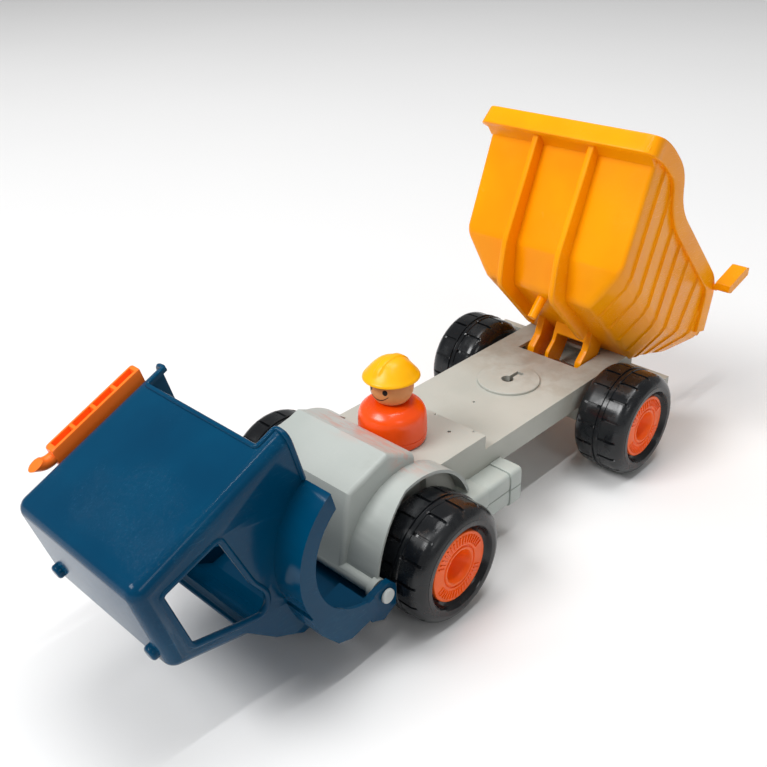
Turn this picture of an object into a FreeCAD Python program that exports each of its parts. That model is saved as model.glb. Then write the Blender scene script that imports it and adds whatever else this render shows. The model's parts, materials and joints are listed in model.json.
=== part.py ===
import FreeCAD, Part
import os
import re
import Sketcher

# Toy dump truck with a tipping cab, a tipping bed and a lift-out peg driver.
# Every piece is drawn in the truck's own frame: +X forward, +Y to the truck's left, +Z up, x = 0 at
# the rear axle, z = 0 on the floor.  The cab and the bed are drawn shut and then turned about their
# hinges to the open pose the truck is stored in.  rear_axle_x then puts the origin at the centre of
# the stored truck's footprint.

SIZES = {
    # stored pose
    "rear_axle_x": -119.0,
    "cab_tip_angle": 105.7,
    "bed_tip_angle": 45.5,
    # running gear
    "wheelbase": 193.0,
    "wheel_radius": 36.0,
    "tyre_inner_face": 43.3,
    "tyre_outer_face": 81.0,
    "hub_radius": 21.5,
    "hub_face": 78.5,
    "axle_radius": 2.5,
    "axle_half_length": 66.0,
    "running_gap": 0.05,
    "tread_blocks": 16.0,
    # deck and seat
    "wall": 2.5,
    "deck_rear_x": -43.1,
    "deck_step_x": 124.3,
    "seat_front_x": 178.0,
    "nose_front_x": 233.0,
    "deck_half_width": 40.8,
    "seat_half_width": 41.0,
    "nose_half_width": 33.5,
    "skirt_foot_z": 45.5,
    "deck_top_z": 61.7,
    "seat_top_z": 71.6,
    "nose_top_z": 62.0,
    "platform_half_width": 70.0,
    "platform_top_z": 53.2,
    "platform_depth": 5.8,
    "base_thickness": 2.2,
    "fit_gap": 0.2,
    # bonnet, grey wheel arches and cab pivot
    "bonnet_half_width": 36.5,
    "arch_outer_radius": 45.0,
    "arch_wall": 2.0,
    "cab_hinge_x": 238.0,
    "cab_hinge_z": 38.4,
    "pivot_radius": 4.3,
    "pivot_half_length": 61.0,
    "collar_radius": 6.0,
    "collar_length": 4.0,
    "pin_radius": 2.0,
    "pin_depth": 14.0,
    "pin_head_radius": 4.2,
    "pin_head_length": 2.0,
    # cab
    "cab_wall": 2.0,
    "cab_half_width": 50.0,
    "hood_half_width": 40.0,
    "cab_side_foot_z": 50.5,
    "cab_rear_foot_z": 62.2,
    "flare_outer_radius": 48.4,
    "flare_inner_radius": 46.3,
    "flare_lip_radius": 38.5,
    "flare_half_width": 68.0,
    "lug_inner_y": 62.4,
    "lug_outer_y": 66.4,
    # bed
    "bed_hinge_x": -13.0,
    "bed_hinge_z": 51.0,
    "bed_wall": 2.2,
    "bed_floor_z": 73.9,
    "bed_belt_z": 94.9,
    "bed_knee_x": -6.3,
    "bed_tail_x": -66.3,
    "bed_tail_rise": 24.0,
    "bed_floor_half_width": 42.0,
    "bed_half_width": 61.0,
    "bed_rim_half_width": 64.0,
    "bed_rib_centre_y": 20.5,
    "bed_rib_thickness": 4.4,
    "peg_centre_x": 48.2,
    "peg_radius": 3.0,
    "peg_length": 15.2,
    # locking plate on the deck
    "plate_centre_x": 47.2,
    "plate_radius": 21.0,
    "plate_height": 1.8,
    "keyhole_radius": 4.2,
    # peg driver
    "driver_x": 161.3,
    "driver_radius": 20.5,
    "driver_base_height": 5.0,
    "driver_shoulder_height": 18.0,
    "driver_neck_height": 25.0,
    "driver_neck_radius": 13.4,
    "head_radius": 12.9,
    "head_height": 35.0,
    "hat_brim_height": 41.4,
    "hat_brim_radius": 16.75,
    "hat_top_height": 53.6,
    "seat_peg_radius": 7.5,
    "seat_peg_height": 6.0,
    "rest_gap": 0.05,
}

V = FreeCAD.Vector
UPRIGHT = FreeCAD.Rotation(V(1, 0, 0), 90)
ALONG_Y = FreeCAD.Rotation(V(1, 0, 0), -90)
ALONG_X = FreeCAD.Rotation(V(0, 1, 0), 90)

doc = FreeCAD.newDocument("toy_dump_truck")
sheet = doc.addObject("Spreadsheet::Sheet", "Dim")
for row, (alias, value) in enumerate(SIZES.items(), start=1):
    sheet.set(f"A{row}", alias)
    sheet.set(f"B{row}", str(value))
    sheet.setAlias(f"B{row}", alias)
doc.recompute()

pieces = []


# ---------------------------------------------------------------- helpers
def linked(text):
    """The expression with the sheet's name put in front of each alias."""
    return re.sub(r"[a-z][a-z_]+", lambda word: "Dim." + word[0] if word[0] in SIZES else word[0], str(text))


def number(text):
    """The value of an expression now."""
    return float(sheet.evalExpression(linked(text)))


def bind(item, **properties):
    """Bind properties of a document object to expressions on the sheet."""
    for name, text in properties.items():
        item.setExpression(name.replace("__", "."), linked(text))


def block(x, y, z):
    """A box between two expressions along each axis."""
    item = doc.addObject("Part::Box", "Block")
    for (low, high), edge, axis in ((x, "Length", "x"), (y, "Width", "y"), (z, "Height", "z")):
        bind(item, **{edge: f"({high}) - ({low})", "Placement__Base__" + axis: low})
    return item


def round_bar(radius, y, x, z):
    """A cylinder along Y."""
    item = doc.addObject("Part::Cylinder", "Bar")
    item.Placement.Rotation = ALONG_Y
    bind(item, Radius=radius, Height=f"({y[1]}) - ({y[0]})")
    bind(item, Placement__Base__x=x, Placement__Base__y=y[0], Placement__Base__z=z)
    return item


def post(radius, z, x, y=0):
    """A cylinder along Z."""
    item = doc.addObject("Part::Cylinder", "Post")
    bind(item, Radius=radius, Height=f"({z[1]}) - ({z[0]})")
    bind(item, Placement__Base__x=x, Placement__Base__y=y, Placement__Base__z=z[0])
    return item


def draw(sketch, points):
    """Close an outline of straight lines, each corner held by two dimensions from the origin."""
    corners = [(number(u), number(w)) for u, w in points]
    count = len(points)
    for i, (u, w) in enumerate(corners):
        after = corners[(i + 1) % count]
        sketch.addGeometry(Part.LineSegment(V(u, w, 0), V(after[0], after[1], 0)), False)
    for i in range(count):
        sketch.addConstraint(Sketcher.Constraint("Coincident", i, 2, (i + 1) % count, 1))
    for i, corner in enumerate(points):
        for kind, axis, text, value in zip(("DistanceX", "DistanceY"), (-2, -1), corner, corners[i]):
            if abs(value) < 1e-9:
                sketch.addConstraint(Sketcher.Constraint("PointOnObject", i, 1, axis))
            else:
                index = sketch.addConstraint(Sketcher.Constraint(kind, -1, 1, i, 1, value))
                sketch.setExpression(f"Constraints[{index}]", linked(text))


def side_prism(points, y):
    """An outline of (x, z) corners carried along Y."""
    sketch = doc.addObject("Sketcher::SketchObject", "SideOutline")
    sketch.Placement.Rotation = UPRIGHT
    draw(sketch, points)
    item = doc.addObject("Part::Extrusion", "SidePrism")
    item.Base = sketch
    item.DirMode = "Custom"
    item.Dir = V(0, 1, 0)
    item.Solid = True
    bind(item, LengthFwd=y[1], LengthRev=f"-({y[0]})")
    return item


def plan_prism(points, z):
    """An outline of (x, y) corners carried along Z."""
    sketch = doc.addObject("Sketcher::SketchObject", "PlanOutline")
    draw(sketch, points)
    item = doc.addObject("Part::Extrusion", "PlanPrism")
    item.Base = sketch
    item.DirMode = "Custom"
    item.Dir = V(0, 0, 1)
    item.Solid = True
    bind(item, LengthFwd=z[1], LengthRev=f"-({z[0]})")
    return item


def section_loft(sections):
    """Straight faces between (y, z) outlines that stand at the given x."""
    sketches = []
    for x, points in sections:
        sketch = doc.addObject("Sketcher::SketchObject", "Section")
        sketch.Placement.Rotation = FreeCAD.Rotation(V(1, 1, 1), 120)
        bind(sketch, Placement__Base__x=x)
        draw(sketch, points)
        sketches.append(sketch)
    item = doc.addObject("Part::Loft", "Loft")
    item.Sections = sketches
    item.Solid = True
    item.Ruled = True
    return item


def turned(name, plane, points):
    """A PartDesign body turned about the sketch's own horizontal or vertical axis."""
    body = doc.addObject("PartDesign::Body", name)
    sketch = body.newObject("Sketcher::SketchObject", name + "_profile")
    sketch.AttachmentSupport = [([f for f in body.Origin.OriginFeatures if f.Role == plane][0], "")]
    sketch.MapMode = "FlatFace"
    doc.recompute()
    draw(sketch, points)
    turn = body.newObject("PartDesign::Revolution", name + "_turn")
    turn.Profile = sketch
    turn.ReferenceAxis = (sketch, ["H_Axis" if plane == "YZ_Plane" else "V_Axis"])
    turn.Angle = 360
    return body


def join(*items):
    item = doc.addObject("Part::MultiFuse", "Join")
    item.Shapes = list(items)
    return item


def cut(base, *tools):
    item = doc.addObject("Part::Cut", "Cut")
    item.Base = base
    item.Tool = tools[0] if len(tools) == 1 else join(*tools)
    return item


def overlap(base, tool):
    item = doc.addObject("Part::Common", "Overlap")
    item.Base = base
    item.Tool = tool
    return item


def rounded(base, radius, wanted, kind="Part::Fillet"):
    """Round or chamfer the edges of base whose middle point and direction pass the test."""
    doc.recompute()
    item = doc.addObject(kind, "Rounded")
    item.Base = base
    chosen = []
    for index, edge in enumerate(base.Shape.Edges, start=1):
        middle = edge.valueAt((edge.FirstParameter + edge.LastParameter) / 2)
        if wanted(edge, middle):
            chosen.append((index, radius, radius))
    item.Edges = chosen
    return item


def chamfered_ends(base, size):
    return rounded(base, size, lambda edge, middle: edge.Curve.TypeId == "Part::GeomCircle", "Part::Chamfer")


def mirrored(points):
    """A half outline of (y, z) corners, from the bottom up, closed with its mirror image."""
    return [(f"-({y})", z) for y, z in points] + list(reversed(points))


def piece(item, label, placement=None):
    """Name a finished sub-part and shift it, with its pose, to the stored truck's origin."""
    item.Label = label
    shift = FreeCAD.Placement(V(number("rear_axle_x"), 0, 0), FreeCAD.Rotation())
    item.Placement = shift.multiply(placement or FreeCAD.Placement())
    pieces.append(item)
    return item


def pose_about(x, z, angle):
    """A turn about a hinge along Y through (x, z)."""
    return FreeCAD.Placement(V(), FreeCAD.Rotation(V(0, 1, 0), number(angle)), V(number(x), 0, number(z)))


CAB_POSE = pose_about("cab_hinge_x", "cab_hinge_z", "cab_tip_angle")
BED_POSE = pose_about("bed_hinge_x", "bed_hinge_z", "-bed_tip_angle")
BOTH_SIDES = (1, -1)
AXLE_X = {"rear": "0", "front": "wheelbase"}


def span(side, low, high):
    """The y range from low to high on the left (1) or right (-1) side."""
    return (low, high) if side == 1 else (f"-({high})", f"-({low})")


# ---------------------------------------------------------------- deck
SCREWS = [("-30", "29"), ("104", "29"), ("214", "19")]
BOSS_RADIUS = 3.6
SHANK_RADIUS = 1.4
HEAD_RADIUS = 2.9
HEAD_HEIGHT = 1.5
EAR_SLOT = (("-27.5", "2.5"), ("-24.6", "24.6"), ("deck_top_z - 5", "deck_top_z + 5"))
KEY_ARM = ("plate_centre_x - 10.5", "peg_centre_x")


def keyhole(z):
    """The round hole for the bed's locking peg, with a bent arm on one side."""
    return [
        post("keyhole_radius", z, "peg_centre_x"),
        block(KEY_ARM, ("-1.2", "1.4"), z),
        block(("plate_centre_x - 11.8", "plate_centre_x - 8.8"), ("-1.2", "4.2"), z),
    ]


def deck():
    walls = [
        block(("deck_rear_x", "deck_step_x + 2"), ("-deck_half_width", "deck_half_width"),
              ("skirt_foot_z", "deck_top_z")),
        block(("deck_step_x", "seat_front_x"), ("-seat_half_width", "seat_half_width"),
              ("skirt_foot_z", "seat_top_z")),
        block(("seat_front_x - wall", "nose_front_x"), ("-nose_half_width", "nose_half_width"),
              ("skirt_foot_z", "nose_top_z")),
        block(("deck_rear_x", "deck_rear_x + platform_depth"),
              ("-platform_half_width", "platform_half_width"), ("skirt_foot_z", "platform_top_z")),
        post("seat_peg_radius", ("seat_top_z - 1", "seat_top_z + seat_peg_height"), "driver_x"),
    ]
    hollows = [
        block(("deck_rear_x + wall", "seat_front_x - wall"), ("wall - deck_half_width", "deck_half_width - wall"),
              ("skirt_foot_z - 1", "deck_top_z - wall")),
        block(("deck_step_x + wall", "seat_front_x - wall"), ("wall - deck_half_width", "deck_half_width - wall"),
              ("skirt_foot_z - 1", "seat_top_z - wall")),
        block(("seat_front_x - 2 * wall", "nose_front_x - wall"),
              ("wall - nose_half_width", "nose_half_width - wall"), ("skirt_foot_z - 1", "nose_top_z - wall")),
    ]
    shell = cut(join(*walls), *hollows)
    base_top = "skirt_foot_z + base_thickness"
    bosses = [
        post(BOSS_RADIUS, (base_top, "deck_top_z - wall + 0.5"), x, f"{side} * {y}")
        for x, y in SCREWS for side in BOTH_SIDES
    ]
    cheeks = [
        block(("bed_hinge_x - 6", "bed_hinge_x + 6"), y, (base_top, "deck_top_z - wall + 0.5"))
        for y in (("25", "28"), ("-28", "-25"))
    ]
    holes = [
        post(SHANK_RADIUS, (base_top + " - 1", "skirt_foot_z + 11.5"), x, f"{side} * {y}")
        for x, y in SCREWS for side in BOTH_SIDES
    ]
    holes.append(round_bar("pin_radius", ("-30", "30"), "bed_hinge_x", "bed_hinge_z"))
    holes.extend(keyhole(("deck_top_z - 2 * wall", "deck_top_z + 1")))
    holes.append(post(1.1, ("seat_top_z - 2 * wall", "seat_top_z + 1"), "deck_step_x + 11", 22))
    holes.append(post(0.9, ("deck_top_z - 2 * wall", "deck_top_z + 1"), "84.8", "0.6"))
    for y in ("3", "33"):
        holes.append(block(("deck_step_x - 1", "deck_step_x + 2"), (f"{y} - 1", f"{y} + 1"),
                           ("seat_top_z - 1.5", "seat_top_z + 1")))
    open_shell = cut(shell, block(*EAR_SLOT))
    solid = cut(join(open_shell, *bosses, *cheeks), *holes)
    piece(solid, "chassis_deck")


def base():
    top = "skirt_foot_z + base_thickness"
    inside = "deck_half_width - wall - fit_gap"
    narrow = "nose_half_width - wall - fit_gap"
    joint_x = "seat_front_x - wall - fit_gap"
    plates = [
        block(("deck_rear_x + wall + fit_gap", joint_x), (f"-({inside})", inside), ("skirt_foot_z", top)),
        block((joint_x + " - 1", "nose_front_x - wall - fit_gap"), (f"-({narrow})", narrow), ("skirt_foot_z", top)),
        block(("-11", "11"), (f"-({inside})", inside), ("wheel_radius - 9", top)),
        block(("wheelbase - 11", "wheelbase + 11"), (f"-({narrow})", narrow), ("wheel_radius - 9", top)),
    ]
    holes = [round_bar("axle_radius + running_gap", ("-60", "60"), x, "wheel_radius") for x in AXLE_X.values()]
    holes.append(block(("bed_hinge_x - 10", "bed_hinge_x + 17"), ("-25", "25"), ("skirt_foot_z - 1", top + " + 1")))
    for x, y in SCREWS:
        for side in BOTH_SIDES:
            holes.append(post(HEAD_RADIUS + 0.1, ("skirt_foot_z - 1", f"skirt_foot_z + {HEAD_HEIGHT}"),
                              x, f"{side} * {y}"))
            holes.append(post(SHANK_RADIUS + 0.2, ("skirt_foot_z", top + " + 1"), x, f"{side} * {y}"))
    piece(cut(join(*plates), *holes), "chassis_base")


def screws():
    parts = []
    for x, y in SCREWS:
        for side in BOTH_SIDES:
            head = post(HEAD_RADIUS, ("skirt_foot_z", f"skirt_foot_z + {HEAD_HEIGHT}"), x, f"{side} * {y}")
            shank = post(SHANK_RADIUS, ("skirt_foot_z", "skirt_foot_z + 11"), x, f"{side} * {y}")
            slot_one = block((f"{x} - 1.9", f"{x} + 1.9"), (f"{side} * {y} - 0.35", f"{side} * {y} + 0.35"),
                             ("skirt_foot_z - 1", "skirt_foot_z + 0.9"))
            slot_two = block((f"{x} - 0.35", f"{x} + 0.35"), (f"{side} * {y} - 1.9", f"{side} * {y} + 1.9"),
                             ("skirt_foot_z - 1", "skirt_foot_z + 0.9"))
            parts.append(cut(join(head, shank), slot_one, slot_two))
    group = doc.addObject("Part::Compound", "ScrewGroup")
    group.Links = parts
    piece(group, "base_screws")


def locking_plate():
    z = ("deck_top_z", "deck_top_z + plate_height")
    disc = rounded(post("plate_radius", z, "plate_centre_x"), 0.8,
                   lambda edge, middle: middle.z > number("deck_top_z + 1") and edge.Curve.TypeId == "Part::GeomCircle")
    piece(cut(disc, *keyhole(("deck_top_z - 1", "deck_top_z + 5"))), "latch_plate")


# ---------------------------------------------------------------- bonnet with its arches and cab pivot
BONNET_OUTER = [
    (241.6, 39.8), (236.0, 74.7), (233.4, 84.8), (203.6, 95.3),
    (183.2, 86.0), (182.8, "seat_top_z - fit_gap"), ("seat_front_x + fit_gap", "seat_top_z - fit_gap"),
    ("seat_front_x + fit_gap", 39.8),
]
BONNET_INNER = [
    (239.4, 30), (233.4, 74.2), (231.2, 83.0), (203.8, 92.4), (186.0, 84.4), (185.6, "seat_top_z - 1.8"),
    ("seat_front_x - 5", "seat_top_z - 1.8"), ("seat_front_x - 5", 30),
]
ARCH_PLAN = [(130, 50.2), (205, 50.2), (236, 59.0), (260, 59.0), (260, 90), (130, 90)]


def bonnet():
    cover = side_prism(BONNET_OUTER, ("-bonnet_half_width", "bonnet_half_width"))
    cover = rounded(cover, 3.0, lambda edge, middle: abs(edge.tangentAt(edge.FirstParameter).y) < 0.1
                    and middle.z > 76 and middle.x > 190)
    hollow = side_prism(BONNET_INNER, ("wall - bonnet_half_width", "bonnet_half_width - wall"))
    parts = [cut(cover, hollow)]
    deck_side = "seat_half_width + fit_gap"
    for side in BOTH_SIDES:
        ring = cut(
            round_bar("arch_outer_radius", span(side, "bonnet_half_width - 1", 60), "wheelbase", "wheel_radius"),
            round_bar("arch_outer_radius - arch_wall", span(side, 20, 70), "wheelbase", "wheel_radius"),
            block((100, "wheelbase"), span(side, 20, 70), (-20, "skirt_foot_z + 5")),
            block(("wheelbase - 20", 260), span(side, 20, 70), (-20, "cab_hinge_z")),
            block((100, "seat_front_x + fit_gap"), span(side, 20, deck_side), (0, "seat_top_z + fit_gap")),
            plan_prism([(x, f"{side} * {y}") for x, y in ARCH_PLAN], (0, 120)),
        )
        parts.append(ring)
        web = round_bar("arch_outer_radius - 0.5", span(side, "bonnet_half_width - 1", "seat_half_width"),
                        "wheelbase", "wheel_radius")
        parts.append(overlap(web, block((150, 187), span(side, 30, 50), ("seat_top_z + fit_gap", 90))))
        parts.append(round_bar("collar_radius", span(side, "pivot_half_length - collar_length", "pivot_half_length"),
                               "cab_hinge_x", "cab_hinge_z"))
    parts.append(round_bar("pivot_radius", ("-pivot_half_length", "pivot_half_length"), "cab_hinge_x", "cab_hinge_z"))
    bores = [
        round_bar("pin_radius", span(side, "pivot_half_length - pin_depth", "pivot_half_length + 1"),
                  "cab_hinge_x", "cab_hinge_z")
        for side in BOTH_SIDES
    ]
    piece(cut(join(*parts), *bores), "engine_bonnet")


def cab_pins():
    for side, name in zip(BOTH_SIDES, ("left", "right")):
        shank = round_bar("pin_radius", span(side, "pivot_half_length - pin_depth + 0.5", "lug_outer_y + 0.3"),
                          "cab_hinge_x", "cab_hinge_z")
        head = round_bar("pin_head_radius", span(side, "lug_outer_y + 0.3", "lug_outer_y + 0.3 + pin_head_length"),
                         "cab_hinge_x", "cab_hinge_z")
        outer = number("lug_outer_y + 0.3 + pin_head_length")
        head = rounded(head, 0.8, lambda edge, middle: abs(abs(middle.y) - outer) < 0.01)
        piece(join(shank, head), "cab_pin_" + name)


def tanks():
    sections = [(109, 119.4, 0), (119.4, 141, 0.9), (141, 154.5, 0)]
    for side, name in zip(BOTH_SIDES, ("left", "right")):
        blocks = []
        for low, high, inset in sections:
            part = block((low, high), span(side, "seat_half_width", f"57.5 - {inset}"),
                         (f"24.5 + {inset}", f"49.2 - {inset}"))
            blocks.append(rounded(part, 2.0, lambda edge, middle: abs(middle.y) > 56
                                  and abs(edge.tangentAt(edge.FirstParameter).x) > 0.9))
        piece(join(*blocks), "side_tank_" + name)


# ---------------------------------------------------------------- wheels and axles
GROOVE_DEPTH = 1.1
GROOVE_WIDTH = 1.5


def axles():
    for end, x in AXLE_X.items():
        rod = round_bar("axle_radius", ("-axle_half_length", "axle_half_length"), x, "wheel_radius")
        piece(chamfered_ends(rod, 0.6), end + "_axle")
    rings = []
    for x in AXLE_X.values():
        for side in BOTH_SIDES:
            y = span(side, "deck_half_width + 0.5", "tyre_inner_face - 0.6")
            rings.append(cut(round_bar(6, y, x, "wheel_radius"),
                             round_bar("axle_radius + running_gap", ("-60", "60"), x, "wheel_radius")))
    group = doc.addObject("Part::Compound", "WasherGroup")
    group.Links = rings
    piece(group, "axle_washers")


def tyre(name):
    """A wide tyre: shoulders cut back, one groove round the middle and blocks staggered side to side."""
    inner, outer = "tyre_inner_face", "tyre_outer_face"
    middle = f"({inner} + {outer}) / 2"
    profile = [
        (inner, "hub_radius"), (inner, "wheel_radius - 8"), (f"{inner} + 2.4", "wheel_radius - 2.8"),
        (f"{inner} + 8", "wheel_radius"), (f"{middle} - 1.1", "wheel_radius"), (f"{middle} - 1.1", "wheel_radius - 1"),
        (f"{middle} + 1.1", "wheel_radius - 1"), (f"{middle} + 1.1", "wheel_radius"), (f"{outer} - 8", "wheel_radius"),
        (f"{outer} - 2.4", "wheel_radius - 2.8"), (outer, "wheel_radius - 8"), (outer, "hub_radius + 1.5"),
        (f"{outer} - 1.5", "hub_radius"),
    ]
    ring = turned(name + "_ring", "YZ_Plane", profile)
    count = int(number("tread_blocks"))
    grooves = []
    for row, (low, high) in enumerate(((f"{inner} + 3", f"{middle} - 1.1"), (f"{middle} + 1.1", f"{outer} - 3"))):
        for step in range(count):
            angle = 360 / count * (step + row / 2)
            groove = block((-GROOVE_WIDTH / 2, GROOVE_WIDTH / 2), (low, high),
                           (f"wheel_radius - {GROOVE_DEPTH}", "wheel_radius + 2"))
            turned_groove = doc.addObject("Part::Compound", "Groove")
            turned_groove.Links = [groove]
            turned_groove.Placement = FreeCAD.Placement(V(), FreeCAD.Rotation(V(0, 1, 0), angle))
            grooves.append(turned_groove)
    return cut(ring, *grooves)


def hub(name):
    """A dished wheel centre: flat face, deep coned recess outside, blind bore from the inside."""
    face, inner = "hub_face", "tyre_inner_face"
    bore = "axle_radius + running_gap"
    profile = [
        (f"{inner} + 0.5", bore), (f"{inner} + 0.5", "hub_radius"), (face, "hub_radius"), (face, 10.4),
        (f"{face} - 1", 9.6), ("axle_half_length + 3", 4.2), ("axle_half_length + 2.4", 0),
        ("axle_half_length + 0.3", 0), ("axle_half_length + 0.3", bore),
    ]
    return turned(name + "_disc", "YZ_Plane", profile)


def wheels():
    for end, x in AXLE_X.items():
        for turn, side in ((0, "left"), (180, "right")):
            place = FreeCAD.Placement(V(number(x), 0, number("wheel_radius")), FreeCAD.Rotation(V(0, 0, 1), turn))
            name = end + "_" + side
            piece(tyre(name), "tyre_" + name, place)
            piece(hub(name), "hub_" + name, place)


# ---------------------------------------------------------------- cab (drawn shut)
CABIN_OUTER = [
    (116.75, "cab_side_foot_z"), (130.6, 146.4), (184.6, 146.4), (207.6, 103.4), (218, 96.5), (228, 86),
    (228, "cab_side_foot_z"),
]
CABIN_INNER = [(114, 20), (118.4, "cab_side_foot_z - 1"), (132.4, 144.4), (183.4, 144.4), (206.0, 102.4), (216.8, 94.9),
               (225.8, 85.4), (225.8, 20)]
HOOD_OUTER = [(200, 60), (200, 103.4), (208.6, 103.4), (231.8, 92.4), (246.2, 77.2), (248.2, 47), (252.4, 44.6),
              (250.2, 34), (245.6, 34), (245.6, 60)]
HOOD_INNER = [(190, 20), (190, 101.2), (208.2, 101.2), (230.8, 90.5), (244.0, 76.4), (246.0, 47), (245.6, 20)]
BUMPER = [(245.6, 34), (250.2, 34), (252.4, 44.6), (248.2, 47), (245.6, 47)]
FLARE_FRONT_OUTER = [(205, 60), (205, 84.0), (219, 82.4), (234.8, 75.2), (240.4, 67), (241.6, 46.4), (225, 46.4),
                     (225, 60)]
FLARE_FRONT_INNER = [(200, 60), (203, 82.0), (218.4, 80.4), (233.6, 73.6), (238.4, 66.4), (239.6, 30), (200, 30)]
LUG = [(231.2, 52), (230.8, 38), (232.6, 33.2), (236.4, 30.9), (240, 30.9), (248.2, 33.8), (252.4, 44.6), (246, 52)]
SIDE_WINDOW = [(141.3, 135.2), (138.8, 100.2), (176.5, 94.8), (188, 90.4), (194.5, 91.6), (199, 97.4), (194, 107.4),
               (179.6, 134.0)]
WINDSCREEN = [(198.6, 103.0), (212.6, 110.4), (194.8, 144.0), (180.8, 136.6)]


def soft_box(outline, low, high, radius):
    """A cabin-shaped prism with its upright rear edges and all its roof edges rounded."""
    prism = side_prism(outline, (low, high))
    reach = abs(number(high)) - 0.5

    def at_rear_or_roof(edge, middle):
        upright = abs(middle.y) > reach and 85 < middle.z < 150 and middle.x < 197
        across = abs(middle.y) < 1 and middle.z > 140
        return upright or across

    return rounded(prism, radius, at_rear_or_roof)


def cab():
    wheel_at = ("wheelbase", "wheel_radius")
    half, wide = "cab_half_width", "flare_half_width"
    shells = [
        soft_box(CABIN_OUTER, f"-{half}", half, 7.0),
        side_prism(HOOD_OUTER, ("-hood_half_width", "hood_half_width")),
        side_prism(BUMPER, ("-lug_outer_y", "lug_outer_y")),
    ]
    lips = []
    for side in BOTH_SIDES:
        flare = cut(round_bar("flare_outer_radius", span(side, 39, wide), *wheel_at),
                    block((100, 300), span(side, 30, 80), (-20, "cab_side_foot_z")),
                    block((230, 300), span(side, 30, 80), (-20, "cab_side_foot_z + 20")))
        shells.append(join(flare, side_prism(FLARE_FRONT_OUTER, span(side, 39, wide))))
        lips.append(round_bar("flare_lip_radius", span(side, 60, 80), *wheel_at))
        lips.append(block((195, 229.5), span(side, 60, 80), (0, "cab_side_foot_z + 1")))
        lips.append(round_bar("pin_radius + running_gap", span(side, 55, 80), "cab_hinge_x", "cab_hinge_z"))
    hollows = [
        soft_box(CABIN_INNER, f"cab_wall - {half}", f"{half} - cab_wall", 5.0),
        side_prism(HOOD_INNER, ("cab_wall + 0.2 - hood_half_width", "hood_half_width - cab_wall - 0.2")),
        round_bar("flare_inner_radius", (f"cab_wall - {wide}", f"{wide} - cab_wall"), *wheel_at),
        side_prism(FLARE_FRONT_INNER, (f"cab_wall - {wide}", f"{wide} - cab_wall")),
        block(("100", "126"), ("-seat_half_width - 0.5", "seat_half_width + 0.5"), (20, "cab_rear_foot_z")),
        side_prism(SIDE_WINDOW, ("-60", "60")),
        side_prism(WINDSCREEN, ("-41", "41")),
    ]
    body = cut(join(*shells), *hollows)
    lugs = [side_prism(LUG, span(side, "lug_inner_y", "lug_outer_y")) for side in BOTH_SIDES]
    lamps = [
        rounded(post(4, (145, 149.6), 174.7, f"{side} * 40"), 1.8, lambda edge, middle: middle.z > 149)
        for side in BOTH_SIDES
    ]
    piece(cut(join(body, *lugs, *lamps), *lips), "cab_shell", CAB_POSE)


STACK = [(113.6, 60), (124.6, 60), (133.0, 118), (122.0, 118)]
OUTLET = [(124.4, 117), (130.6, 117), (131.6, 124.6), (127.4, 129.8), (122.8, 126.4), (125.4, 123.4)]


def exhaust():
    """A slim box on the cab's right rear corner with four pockets and a bent outlet."""
    lean = (STACK[3][0] - STACK[0][0]) / (STACK[3][1] - STACK[0][1])
    body = side_prism(STACK, ("-57.6", "-cab_half_width"))
    pockets = []
    for step in range(4):
        low, high = 63 + step * 13.6, 74 + step * 13.6
        pockets.append(side_prism(
            [(STACK[0][0] + lean * (z - 60) + dx, z) for z, dx in ((low, -3), (low, 3), (high, 3), (high, -3))],
            ("-56", "-51.6")))
    spout = rounded(side_prism(OUTLET, ("-56.8", "-50.8")), 1.6,
                    lambda edge, middle: abs(edge.tangentAt(edge.FirstParameter).y) < 0.1
                    and abs(middle.y) > 50.5 and middle.z > 118.5)
    piece(join(cut(body, *pockets), spout), "exhaust_stack", CAB_POSE)


# ---------------------------------------------------------------- bed (drawn level)
BED_SIDE_OUTER = [
    ("bed_tail_x", "bed_floor_z + bed_tail_rise"), ("bed_knee_x", "bed_floor_z"), (59.6, "bed_floor_z"), (79.3, 94.4),
    (105.6, 155.4), (119.4, 158.4), (120.4, 167.8), (101.8, 173.3), (77.3, 175.8), (72.1, 172.9), (55.9, 158.3),
    (50.5, 156.8), (-40.3, 156.7), (-47.8, 154.5), (-66.2, 124.4),
]
BED_SIDE_INNER = [
    (-90.3, 109.9), (-5.9, 76.1), (58.7, 76.1), (77.2, 95.3), (103.9, 157.6), (117.4, 160.6), (118.2, 200), (-90.3, 200),
]
RIM_OUTER = BED_SIDE_OUTER[5:] + [
    (-54.6, 117.6), (-39.2, 143.0), (50.8, 143.4), (61.0, 146.0), (77.6, 160.6), (100.6, 160.2), (108.0, 156.6),
]
RIB_SIDE = [(15.5, 64.8), (72.1, 66), (89.6, 89.1), (114.7, 154.9), (117, 158.5), (105.0, 157.5), (78.5, 95.4),
            (59.0, 75), (12.0, 75)]
EAR = [(7.7, 74.6), (1.2, 62), (1.2, 52), (-3, 46.5), (-9, 45.3), (-15, 45.3), (-18.6, 50), (-17, 60), (-12.3, 76.8)]
EAR_BRIDGE = [(7.7, 74.6), (3.8, 67), (1.3, 67), (4.0, 74.6)]
EAR_SPANS = [(18.5, 23.5), (-6, -3), (-21, -15.5)]


def bed_loft(inset, tail_x, lift):
    """The tub's cross-sections: a floor, sloping lower sides and nearly upright upper sides."""
    tail_rise = f"bed_tail_rise * (bed_knee_x - ({tail_x})) / (bed_knee_x - bed_tail_x)"
    sections = []
    for x, rise in ((tail_x, tail_rise), ("bed_knee_x", "0"), ("130", "0")):
        half = [
            (f"bed_floor_half_width - {inset} / 2", f"bed_floor_z + {lift} + {rise}"),
            (f"bed_half_width - {inset}", f"bed_belt_z + {lift} / 2 + {rise}"),
            (f"bed_half_width + 0.5 - {inset}", "210"),
        ]
        sections.append((x, mirrored(half)))
    return section_loft(sections)


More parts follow.
